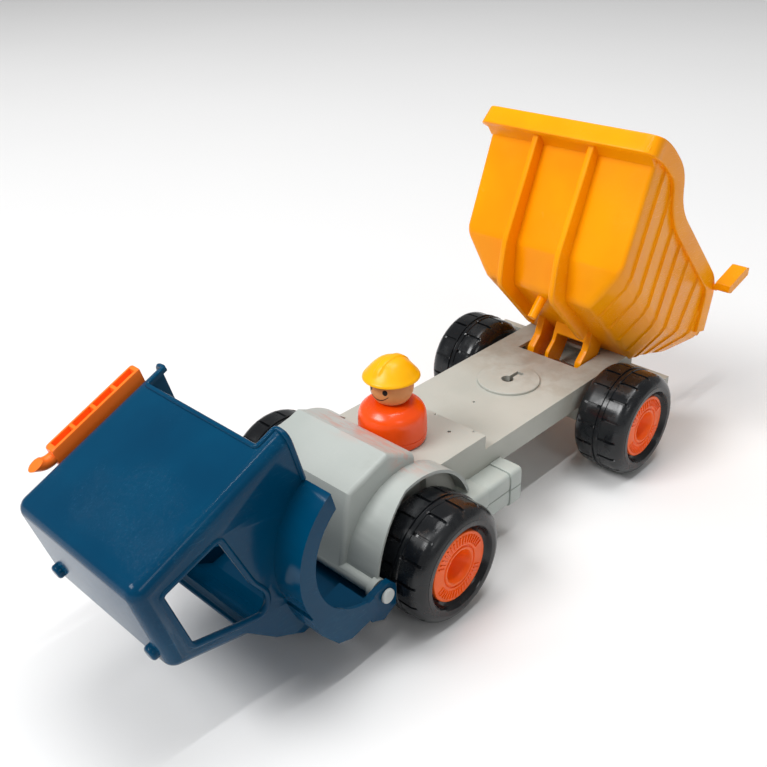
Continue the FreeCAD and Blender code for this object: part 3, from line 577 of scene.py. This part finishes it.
def tyre_points(phase):
    """The section turned about the axle, with straight slots sunk between the tread blocks.

    Slot depth is a step across the turn, one every sixteenth with the two rows half a step apart, times
    a step across the tread, from the middle band to the shoulder.
    """
    profile = tyre_profile()
    pitch = 360 / TREAD_STEPS
    centres = np.arange(2 * TREAD_STEPS) * pitch / 2
    beside_slot = np.array([-1.9, -1.5, -1.2, 1.2, 1.5, 1.9, 3.8, pitch / 2 - 3.8])
    angle = np.sort((centres[:, None] + beside_slot).ravel())
    middle = (TYRE_FACES[1] - TYRE_FACES[0]) / 2
    along, radius = profile.T
    rows = []
    for side, shift in ((1, 0.0), (-1, pitch / 2)):
        from_centre = np.abs((angle - shift + pitch / 2) % pitch - pitch / 2)
        across_turn = np.clip((SLOT_HALF_ANGLE - from_centre) / SLOT_EASE, 0, 1)
        reach = (along - middle) * side
        across_tread = np.clip((reach - 2.0) / 0.6, 0, 1) * np.clip((14.6 - reach) / 2.2, 0, 1)
        rows.append(across_tread[:, None] * across_turn[None])
    depth = TREAD_DEPTH * np.maximum(*rows) * (radius > 28)[:, None]
    turn = np.radians(angle + phase)[None]
    out = radius[:, None] - depth
    return np.stack([out * np.cos(turn), np.broadcast_to(along[:, None], out.shape), out * np.sin(turn)], -1)


# The wheel disc from its back, over the rim and the sunk ring, down the cone to the middle.
HUB_PROFILE = eased(
    [(0.6, 0.0), (0.6, 21.2), (35.1, 21.2), (35.1, 12.9), (34.3, 12.6), (34.3, 12.1), (35.2, 11.8),
     (35.2, 10.3), (34.0, 9.5), (23.6, 4.4), (23.2, 3.4), (23.2, 0.0)],
    [0, 0.5, 0.9, 0.3, 0.2, 0.2, 0.5, 0.6, 0.8, 0.6, 0.4, 0], closed=False)
HUB_BAR_ANGLES = np.r_[np.linspace(25, 155, 17), np.linspace(205, 335, 17)]
HUB_BAR_RADII = (14.4, 19.2)
HUB_BAR_SECTION = [(-0.5, 34.9), (-0.35, 35.7), (0.35, 35.7), (0.5, 34.9)]
HUB_BAR_FACES = np.array([(0, 1, 5, 4), (1, 2, 6, 5), (2, 3, 7, 6), (0, 1, 2, 3), (4, 5, 6, 7), (0, 3, 7, 4)])


def hub_marks():
    """Short raised bars in a ring on the hub's face, in two groups with plain gaps between them.

    Each bar is one section of (sideways, along) points at its inner and at its outer radius, turned
    about the axle by the bar's angle.
    """
    corners = np.array([(end, *point) for end in HUB_BAR_RADII for point in HUB_BAR_SECTION])
    radial, sideways, along = corners.T
    turn = np.radians(HUB_BAR_ANGLES)[:, None]
    x = radial * np.cos(turn) - sideways * np.sin(turn)
    z = radial * np.sin(turn) + sideways * np.cos(turn)
    points = np.stack([x, np.broadcast_to(along, x.shape), z], -1)
    faces = HUB_BAR_FACES + 8 * np.arange(len(turn))[:, None, None]
    return points.reshape(-1, 3), faces.reshape(-1, 4).tolist()


def make_wheels():
    """Four wheels alike, each mirrored to its own side: a tyre, a disc and the disc's raised bars."""
    for end, x in (("rear", 0.0), ("front", WHEELBASE)):
        for side, name in ((1, "left"), (-1, "right")):
            body = f"wheel_{end}_{name}"
            centre = np.array([x, side * TYRE_FACES[0], WHEEL_RADIUS])

            def place(points, centre=centre, side=side):
                return in_truck(points * np.array([1, side, 1]) + centre)

            tyre = surface(f"tyre_{end}_{name}_vinyl", tyre_points(TREAD_PHASE[end]), place,
                           FINISHES["tyre"], wrap_rows=True, wrap_columns=True)
            add(tyre, body, "tyre_black", f"tyre_{end}_{name}")
            disc = surface(f"hub_{end}_{name}_disc", spun(HUB_PROFILE, "y"), place, FINISHES["hub"],
                           wrap_columns=True)
            add(disc, body, "hub_orange", f"hub_{end}_{name}")
            points, faces = hub_marks()
            marks = make_mesh(f"hub_{end}_{name}_bars", place(points), faces, FINISHES["hub"])
            add(marks, body, "hub_orange")


# ---------------------------------------------------------------- driver
def seat_point():
    """Where the driver stands, in truck millimetres."""
    low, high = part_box("driver_base")
    return ((low.x + high.x) / 2 - REAR_AXLE_X) * 1000, low.z * 1000


def make_driver():
    """The driver on the seat: a foot ring, a hollow chest, a head with its face, and a hard hat."""
    x, z = seat_point()

    def place(points):
        return in_truck(points + np.array([x, 0, z]))

    foot = eased([(0.0, 8.2), (0.0, 20.0), (5.0, 20.5), (5.0, 8.2)], [0, 1.6, 0.5, 0], closed=False)
    foot = surface("driver_foot", spun(foot, "z"), place, FINISHES["orange"], wrap_rows=True,
                   wrap_columns=True)
    add(foot, "driver", "driver_orange", "driver_base")
    chest = [(5.0, 8.2), (5.1, 20.3), (5.6, 20.55), (19.4, 20.2), (24.4, 14.6), (25.2, 11.5), (25.2, 0.0),
             (9.2, 0.0), (9.2, 8.2)]
    chest = eased(chest, [0, 0.3, 0.5, 5.0, 2.4, 0.8, 0, 0, 0.3], steps=8, closed=False)
    chest = surface("driver_chest", spun(chest, "z"), place, FINISHES["orange"], wrap_rows=True,
                    wrap_columns=True)
    add(chest, "driver", "driver_orange", "driver_body")
    make_head(place)
    make_hat(place)


HEAD_CENTRE, HEAD_RADIUS = 34.9, 12.8
PAINT_LIFT, PAINT_THICKNESS = 0.02, 0.12
EYE_PLACE, EYE_SIZE = (25, 5), (7.0, 7.8)
SMILE_HALF_WIDTH, SMILE_HEIGHT, SMILE_RISE, SMILE_LINE = 34, -23, 17, 2.1


def head_patch(around, height, lift):
    """A point on the head: around and height are angles in degrees from straight ahead and level."""
    turn, rise = np.radians(around), np.radians(height)
    size = HEAD_RADIUS + lift
    return np.stack([size * np.cos(rise) * np.cos(turn), size * np.cos(rise) * np.sin(turn),
                     HEAD_CENTRE + size * np.sin(rise)], -1)


def make_head(place):
    """A ball cut flat above and below, with two painted dots and a painted curve.

    A dot is an ellipse of angles about the eye's place.  The curve's height is a parabola of its width,
    and its line thins towards its ends.  Paint stands out by 1 - t^4, with t from its middle to its edge.
    """
    rise = np.radians(np.linspace(-41, 62, 30))
    profile = np.stack([HEAD_CENTRE + HEAD_RADIUS * np.sin(rise), HEAD_RADIUS * np.cos(rise)], 1)
    profile = np.concatenate([[(profile[0, 0], 0.0)], profile, [(profile[-1, 0], 0.0)]])
    head = surface("driver_face_ball", spun(profile, "z"), place, FINISHES["skin"], wrap_columns=True)
    add(head, "driver", "skin_peach", "driver_head")
    turn, out = np.meshgrid(np.radians(np.linspace(0, 360, 25)), np.linspace(0, 1, 6), indexing="ij")
    marks = []
    for side in (1, -1):
        around = side * EYE_PLACE[0] + EYE_SIZE[0] * out * np.cos(turn)
        height = EYE_PLACE[1] + EYE_SIZE[1] * out * np.sin(turn)
        eye = head_patch(around, height, PAINT_THICKNESS * (1 - out ** 4) + PAINT_LIFT)
        marks.append(surface(f"eye_{side}", eye, place, FINISHES["ink"]))
    run, over = np.meshgrid(np.linspace(-1, 1, 33), np.linspace(-1, 1, 5), indexing="ij")
    height = SMILE_HEIGHT + SMILE_RISE * run ** 2 + SMILE_LINE * (1 - 0.5 * run ** 2) * over
    smile = head_patch(SMILE_HALF_WIDTH * run, height, 0.10 * (1 - over ** 4) + PAINT_LIFT)
    marks.append(surface("smile", smile, place, FINISHES["ink"]))
    add(joined("driver_face_paint", marks), "driver", "skin_peach")


# The hat's half section as (height, radius), from inside the crown over the brim to the top.
HAT_PROFILE = eased(
    [(44.0, 0.0), (44.0, 11.4), (42.4, 13.0), (41.0, 16.0), (41.3, 16.7), (42.5, 16.2), (43.9, 14.9),
     (47.2, 12.4), (51.4, 7.6), (52.6, 3.6), (52.8, 0.0)],
    [0, 0.6, 0.6, 0.4, 0.4, 1.0, 1.6, 3.0, 2.4, 1.6, 0], closed=False)
HAT_PEAK, HAT_RIB = 0.07, 0.9


def make_hat(place):
    """A hard hat: its half section turned, a peak added to the brim and a rib to the crown.

    The peak stretches the brim by the square of the forward cosine.  The rib lifts the crown where y is
    small, by a step across y times a step up z.
    """
    points = spun(HAT_PROFILE, "z")
    x, y, z = np.moveaxis(points, -1, 0)
    radius = np.hypot(x, y)
    forward = np.clip(x / np.maximum(radius, 1), 0, 1)
    peak = HAT_PEAK * forward ** 2 * np.clip((radius - 13) / 3, 0, 1)
    rib = HAT_RIB * np.clip((2.6 - np.abs(y)) / 0.7, 0, 1) * np.clip((z - 45) / 3, 0, 1)
    points = points * np.stack([1 + peak, 1 + peak, np.ones_like(z)], -1)
    points += rib[..., None] * np.stack([x * 0.05, 0 * y, np.ones_like(z) * 0.8], -1)
    hat = surface("driver_hard_hat", points, place, FINISHES["hat"], wrap_columns=True)
    add(hat, "driver", "hat_yellow", "driver_hat")


# ---------------------------------------------------------------- bed
BED_TAIL, BED_KNEE, BED_FRONT = -66.3, -6.3, 79.3
BED_FLOOR, BED_BELT = 73.9, 94.4
BED_WALL = 2.2
BED_HALF_WIDTH, BED_SEAM = 61.0, 0.5
BED_PANEL = 19.0
BED_TOP = np.array([(-67, 120), (-52, 143), (-46, 149), (-38, 152.4), (42, 152.6), (50, 153.6), (57, 156.6),
                    (66, 164), (72, 168), (80, 170), (101, 169), (113, 164.5)])
BED_PANELS = np.arange(-50, 68, BED_PANEL)
PANEL_STEP, PANEL_EDGE = 1.4, 0.35
NOSE_EDGE, NOSE_STEPS = 3, 6


def bed_lean(z):
    """How far the front wall has moved forward at height z: one slope below the belt and one above it."""
    return np.where(z > BED_BELT, (z - BED_BELT) * 26.3 / 61, (z - BED_BELT) * 19.7 / 20.5)


def tub_points():
    """The tub's outside: a U-shaped section carried from tail to front, then drawn in to close it.

    The section runs down one side, across the floor and up the other side.  Its points lean forward
    with height as the front wall does, the lean fading to nothing at the tail.  Each side panel starts
    a little proud and falls back to the next one: a saw-tooth along the bed added to the width.
    """
    edges = (BED_PANELS[:, None] + np.array([-PANEL_EDGE, PANEL_EDGE])).ravel()
    run = np.unique(np.round(np.r_[np.linspace(BED_TAIL, BED_FRONT - NOSE_EDGE, 44), edges], 3))
    phi = np.linspace(0, math.pi / 2, NOSE_STEPS + 1)[1:]
    inset = np.r_[np.zeros(len(run)), NOSE_EDGE * (1 - np.cos(phi))]
    run = np.r_[run, BED_FRONT - NOSE_EDGE * (1 - np.sin(phi))]
    half_y, half_level = eased([(61.5, 1.0), (BED_HALF_WIDTH, 0.0), (42.0, -1.0), (0.0, -1.0)],
                               [0, 2.6, 3.2, 0], 7, closed=False).T
    rise = np.clip((BED_KNEE - run) / (BED_KNEE - BED_TAIL), 0, 1)[:, None] * 24
    fade = np.clip((run - BED_TAIL) / 60, 0, 1)[:, None]
    top = np.full((len(run), 1), 155.0)
    for _ in range(25):  # the edge's height and its lean settle together
        x_top = run[:, None] + bed_lean(top) * fade
        top = np.interp(x_top, *BED_TOP.T)
    tall = np.linspace(1, 0, 24, endpoint=False)
    belt = BED_BELT + BED_SEAM + rise
    upper_z = belt + (top - belt) * tall
    upper_y = BED_HALF_WIDTH + 0.5 * np.broadcast_to(tall, upper_z.shape)
    low_z = belt + half_level[half_level <= 0] * (BED_BELT + BED_SEAM - BED_FLOOR)
    low_y = np.broadcast_to(half_y[half_level <= 0], low_z.shape)
    z = np.concatenate([upper_z, low_z], 1)
    y = np.concatenate([upper_y, low_y], 1)
    index = np.searchsorted(BED_PANELS, run)
    ahead = BED_PANELS[index.clip(0, len(BED_PANELS) - 1)] - run
    saw = np.where(index < len(BED_PANELS), 1 - ahead / BED_PANEL, 0)
    proud = PANEL_STEP * (np.clip(saw, 0, 1)[:, None] - 0.35) * (y > 42.5)
    y = y + proud - inset[:, None] * (y > 1)
    z = z + inset[:, None] * np.clip((BED_BELT + 2 - z) / 20, 0, 1)
    x = run[:, None] + bed_lean(z - rise * 0.6) * fade
    x = np.maximum(x, BED_TAIL)
    left = np.stack([x, y, z], -1)
    right = left[:, ::-1][:, 1:] * np.array([1, -1, 1])
    whole = np.concatenate([left, right], 1)
    drawn_in = np.stack([np.ones(6), np.linspace(0.8, 0.0, 6), np.ones(6)], -1)
    front = whole[-1][None] * drawn_in[:, None]
    return np.concatenate([whole, front])


BED_RIM = [(-66.2, 124.4), (-45.8, 156.7), (53.5, 156.9), (73.5, 174.4), (101.8, 173.3), (120.2, 167.8)]
RIM_REACH = [0, 14, 16, 12, 10, 9]
RIM_HALF_WIDTH, RIM_WIDTH, RIM_DEPTH = 64.0, 4.2, 13


def rim_points():
    """The rim: a rounded band carried round the top edge from tail to tail.

    At each point of the edge the band's section is laid out along the outward direction, square to the
    edge in plan, and along the direction square to both.
    """
    left = [(x, RIM_HALF_WIDTH, z) for x, z in BED_RIM]
    edge = left + [(x, -y, z) for x, y, z in left[::-1]]
    edge = eased(edge, RIM_REACH + RIM_REACH[::-1], 9, closed=False)
    along = np.gradient(edge, axis=0)
    along /= np.linalg.norm(along, axis=1, keepdims=True)
    flat = along * [1, 1, 0]
    flat /= np.linalg.norm(flat, axis=1, keepdims=True)
    outward = np.stack([-flat[:, 1], flat[:, 0], np.zeros(len(flat))], 1)
    down = np.cross(along, outward) * -1
    corners = [(0, 0), (0, RIM_DEPTH), (-RIM_WIDTH, RIM_DEPTH), (-RIM_WIDTH, 0)]
    section = eased(corners, [1.4, 0.9, 0.4, 0.9], 6)
    return edge[:, None] + outward[:, None] * section[None, :, :1] + down[:, None] * section[None, :, 1:]


RIB_OUTER = [(12.6, 65.4), (16.5, 65.0), (72.1, 66), (89.6, 89.1), (114.6, 155.5), (116.4, 159.0)]
RIB_INNER = [(12.0, 75.4), (16.5, 75.4), (59.0, 75.4), (77.6, 95.8), (104.0, 157.0), (105.0, 158.4)]
RIB_EASE = [0, 2, 7, 8, 2, 0]
RIB_WIDTH = 4.4
RIB_PLACES = {"left": 20.5, "right": -20.5}
EAR = [(7.7, 75), (1.2, 62), (1.2, 52), (-3, 46.5), (-9, 45.4), (-15, 45.4), (-18.4, 50), (-17, 60),
       (-12.3, 76)]
EAR_PLACES = [(18.5, 23.5), (-6, -3), (-21, -15.5)]
EAR_BRIDGE = [(7.7, 75), (3.8, 67), (1.3, 67), (4.0, 75)]
LEDGE = [(104.5, 154.6), (119.2, 157.6), (119.2, 160.2), (103.9, 157.4)]
PEG_X = 48.2


def rib_points(centre):
    """A long rib: a section with two rounded outer corners carried along the bed's foot and front.

    At each step the section runs from the inner line to the outer line and back, so a point is
    inner + u (outer - inner) in side view, with v half widths across.
    """
    outer, inner = (eased(line, RIB_EASE, 10, closed=False) for line in (RIB_OUTER, RIB_INNER))
    phi = np.linspace(0, math.pi / 2, 5)
    u = np.r_[0, 0.88 + 0.12 * np.sin(phi), 0.88 + 0.12 * np.cos(phi), 0]
    v = np.r_[1, 0.6 + 0.4 * np.cos(phi), -0.6 - 0.4 * np.sin(phi), -1]
    flat = inner[:, None] + u[None, :, None] * (outer - inner)[:, None]
    across = np.broadcast_to(centre + v * RIB_WIDTH / 2, flat.shape[:2])
    return np.stack([flat[..., 0], across, flat[..., 1]], -1)


def make_bed():
    """The bed: a thin tub with its rim, cab guard ledge, long ribs, hinge ears and locking peg."""
    material = FINISHES["bed"]
    tub = surface("bed_tub_moulding", tub_points(), on_bed, material)
    if normal_towards(tub, on_bed(np.array([[30.0, 0, 120.0]]))[0]):
        tub.data.flip_normals()
    wall = tub.modifiers.new("Wall", "SOLIDIFY")
    wall.thickness, wall.offset = BED_WALL * 0.001, -1.0
    add(tub, "bed", "bed_yellow", "bed_tub")
    rim = surface("bed_rim", rim_points(), on_bed, material, wrap_columns=True, caps=True)
    add(rim, "bed", "bed_yellow")
    add(slab("bed_ledge", LEDGE, (-61, 61), on_bed, material, 0.9, 0.4), "bed", "bed_yellow")
    for name, y in RIB_PLACES.items():
        rib = surface(f"bed_long_rib_{name}", rib_points(y), on_bed, material, wrap_columns=True, caps=True)
        add(rib, "bed", "bed_yellow")
    for index, y in enumerate(EAR_PLACES):
        add(slab(f"bed_ear_{index}", EAR, y, on_bed, material, 1.6, 0.5), "bed", "bed_yellow")
    add(slab("bed_ear_bridge", EAR_BRIDGE, (-5, 20), on_bed, material, 0.6, 0.4), "bed", "bed_yellow")
    peg = [(58.7, 0.0), (58.7, 2.9), (60.0, 3.0), (74.2, 3.4), (74.2, 0.0)]
    peg = eased(peg, [0, 0.6, 0.3, 0, 0], closed=False)
    peg = surface("bed_locking_peg", spun(peg, "z", (PEG_X, 0, 0), 40), on_bed, material, wrap_columns=True)
    add(peg, "bed", "bed_yellow")


def normal_towards(item, point):
    """Whether a surface's faces look, on the whole, towards a point."""
    count = len(item.data.polygons)
    centre, normal, area = np.zeros(count * 3), np.zeros(count * 3), np.zeros(count)
    item.data.polygons.foreach_get("center", centre)
    item.data.polygons.foreach_get("normal", normal)
    item.data.polygons.foreach_get("area", area)
    facing = np.sum((point - centre.reshape(-1, 3)) * normal.reshape(-1, 3), axis=1)
    return float(np.sum(facing * area)) > 0


# ---------------------------------------------------------------- side tanks and exhaust
# Each block of a tank: where it starts and ends along x, and how far it is drawn in.
TANK_BLOCKS = [(109.0, 119.2, 0.0), (119.5, 140.8, 0.8), (141.1, 154.5, 0.0)]
TANK_INNER, TANK_OUTER = 40.9, 57.5
TANK_FOOT, TANK_TOP, TANK_SEAM = 24.5, 49.2, (36.75, 37.05)


def make_tanks():
    """Three rounded blocks in a row on each side, with a gap between them and a seam along the middle."""
    for side, name in ((1, "left"), (-1, "right")):
        blocks = []
        for low, high, inset in TANK_BLOCKS:
            face = side * (TANK_OUTER - inset)
            halves = (((TANK_FOOT + inset, TANK_SEAM[0]), [0.4, 3.6, 0.7, 0.4]),
                      ((TANK_SEAM[1], TANK_TOP - inset), [0.4, 0.7, 3.6, 0.4]))
            for (foot, top), reach in halves:
                corners = [(side * TANK_INNER, foot), (face, foot), (face, top), (side * TANK_INNER, top)]
                blocks.append(bar(f"tank_{name}_{low:.0f}", corners, (low, high), in_truck,
                                  FINISHES["tank"], reach, 0.3))
        tank = joined(f"side_tank_{name}_moulding", blocks)
        add(tank, "chassis", "chassis_grey", f"side_tank_{name}")


# The exhaust box leans from its foot to its head, both (x, z) on its rear edge.
STACK_FOOT, STACK_HEAD = (113.6, 60.0), (122.0, 118.0)
STACK_POCKETS = 63.0 + 13.6 * np.arange(4)
STACK_POCKET_LENGTH, STACK_POCKET_DEPTH, STACK_POCKET_EDGE = 10.8, 3.0, 0.5
STACK_MIDDLE_Y = -53.8
# Its section as (ahead, across, whether a pocket sinks this point).
STACK_SECTION = np.array([
    (10.8, -50.1, 0), (0.7, -50.1, 0), (0.15, -50.4, 0), (0, -51.0, 0), (0, -51.6, 0), (0, -51.8, 1),
    (0, -55.8, 1), (0, -56.0, 0), (0, -56.8, 0), (0.15, -57.3, 0), (0.7, -57.6, 0), (10.0, -57.6, 0),
    (10.8, -57.0, 0)])
PIPE_PATH = [(126.9, STACK_MIDDLE_Y, 114), (128.1, STACK_MIDDLE_Y, 119.6), (127.4, STACK_MIDDLE_Y, 123.6),
             (124.9, STACK_MIDDLE_Y, 127.0)]


def make_exhaust():
    """A slim box with four pockets in its rear face, and a bent pipe at its upper end, cut off aslant.

    The box is one section carried up the cab's corner.  The pocket columns of the section sink by a
    step across each pocket's length, and the section is drawn in a little at both ends.
    """
    (foot_x, foot_z), (head_x, head_z) = STACK_FOOT, STACK_HEAD
    edge, pocket_foot = STACK_POCKET_EDGE, STACK_POCKETS[:, None]
    pocket_top = pocket_foot + STACK_POCKET_LENGTH
    ends = np.array([-edge, 0.0, STACK_POCKET_LENGTH, STACK_POCKET_LENGTH + edge])
    height = np.unique(np.r_[foot_z, 60.8, 61.6, (pocket_foot + ends).ravel(), 117.0, 117.6, head_z])
    into, out_of = (height - pocket_foot + edge) / edge, (pocket_top + edge - height) / edge
    sunk = np.max(np.clip(into, 0, 1) * np.clip(out_of, 0, 1), 0)[:, None]
    share = ((height - foot_z) / (head_z - foot_z))[:, None]
    end = np.clip(1 - np.minimum(height - foot_z, head_z - height) / 1.6, 0, 1)[:, None] ** 2
    forward, sideways, sinks = STACK_SECTION.T
    ahead = foot_x + (head_x - foot_x) * share + forward + STACK_POCKET_DEPTH * sunk * sinks
    ahead = ahead + end * np.sign(5 - forward) * 0.5
    across = sideways + end * np.sign(STACK_MIDDLE_Y - sideways) * 0.5
    points = np.stack([ahead, across, np.broadcast_to(height[:, None], ahead.shape)], -1)
    box = surface("exhaust_box", points, on_cab, FINISHES["trim"], wrap_columns=True, caps=True)
    path = eased(PIPE_PATH, [0, 3, 4, 0], closed=False)
    pipe = rod(path, np.linspace(3.3, 3.5, len(path)), 24)
    along = path[-1] - path[-2]
    along /= np.linalg.norm(along)
    offset = pipe[-1] - path[-1]
    pipe[-1] += along * (offset @ np.array([0.8, 0, 0.6]))[:, None] * 0.8
    pipe = surface("exhaust_pipe", pipe, on_cab, FINISHES["trim"], wrap_columns=True, caps=True)
    add(joined("exhaust_moulding", [box, pipe]), "cab", "trim_orange", "exhaust_stack")


# ---------------------------------------------------------------- cab beads
CAB_SIDE_WINDOW = [(141.3, 135.2), (138.8, 100.2), (176.5, 94.8), (188, 90.4), (194.5, 91.6), (199, 97.4),
                   (194, 107.4), (179.6, 134.0)]
CAB_WINDSCREEN = [(204.85, -41, 106.36), (204.85, 41, 106.36), (186.95, 41, 139.89), (186.95, -41, 139.89)]
# The rear wall's lower edge on the left, with its step over the deck; the right is its mirror image.
CAB_FOOT = [(146.4, 50.2, 50.9), (118, 50.2, 50.9), (117.0, 42.8, 50.9), (118.7, 42.8, 63.5)]
CAB_FOOT_REACH = [0, 6, 2, 2.4]


def make_cab_beads():
    """Rounded beads: along the cab's lower edge and round its windows."""
    material = FINISHES["cab"]
    whole = CAB_FOOT + [(x, -y, z) for x, y, z in CAB_FOOT[::-1]]
    foot = eased(whole, CAB_FOOT_REACH + CAB_FOOT_REACH[::-1], 8, closed=False)
    beads = [surface("foot_bead", rod(foot, 1.35), on_cab, material, wrap_columns=True, caps=True)]
    for side in (1, -1):
        outline = [(x, side * 49.1, z) for x, z in CAB_SIDE_WINDOW]
        ring = rod(eased(outline, 3.4, 8), 1.75, ring=True)
        beads.append(surface(f"window_bead_{side}", ring, on_cab, material, True, True))
    ring = rod(eased(CAB_WINDSCREEN, 3.0, 8), 1.5, ring=True)
    beads.append(surface("windscreen_bead", ring, on_cab, material, True, True))
    add(joined("cab_beads", beads), "cab", "cab_blue")


# ---------------------------------------------------------------- body work
def make_body_work():
    """The mouldings that CAD already shapes fully: softened edges and a finish, or a finish alone."""
    for node, finish, width in (("chassis_deck", "deck", 0.5), ("latch_plate", "deck", 0.35),
                                ("engine_bonnet", "bonnet", 1.1)):
        piece = softened(node, node + "_moulding", FINISHES[finish], width)
        add(piece, "chassis", "chassis_grey")
    for node in ("cab_pin_left", "cab_pin_right"):
        add(softened(node, node + "_moulding", FINISHES["pin"], 0.3), "chassis", "pin_grey")
    add(softened("cab_shell", "cab_moulding", FINISHES["cab"], 0.7), "cab", "cab_blue")
    add(softened("tip_handle", "tip_handle_moulding", FINISHES["bed"], 0.5), "bed", "bed_yellow")
    for node, finish in (("chassis_base", "deck"), ("base_screws", "screw"), ("rear_axle", "axle"),
                         ("front_axle", "axle"), ("axle_washers", "pin"), ("bed_hinge_rod", "axle")):
        mesh = frame["nodes"][node].data
        mesh.materials.clear()
        mesh.materials.append(FINISHES[finish])


set_camera()
set_floor()
set_light()
make_wheels()
make_driver()
make_bed()
make_tanks()
make_exhaust()
make_cab_beads()
make_body_work()
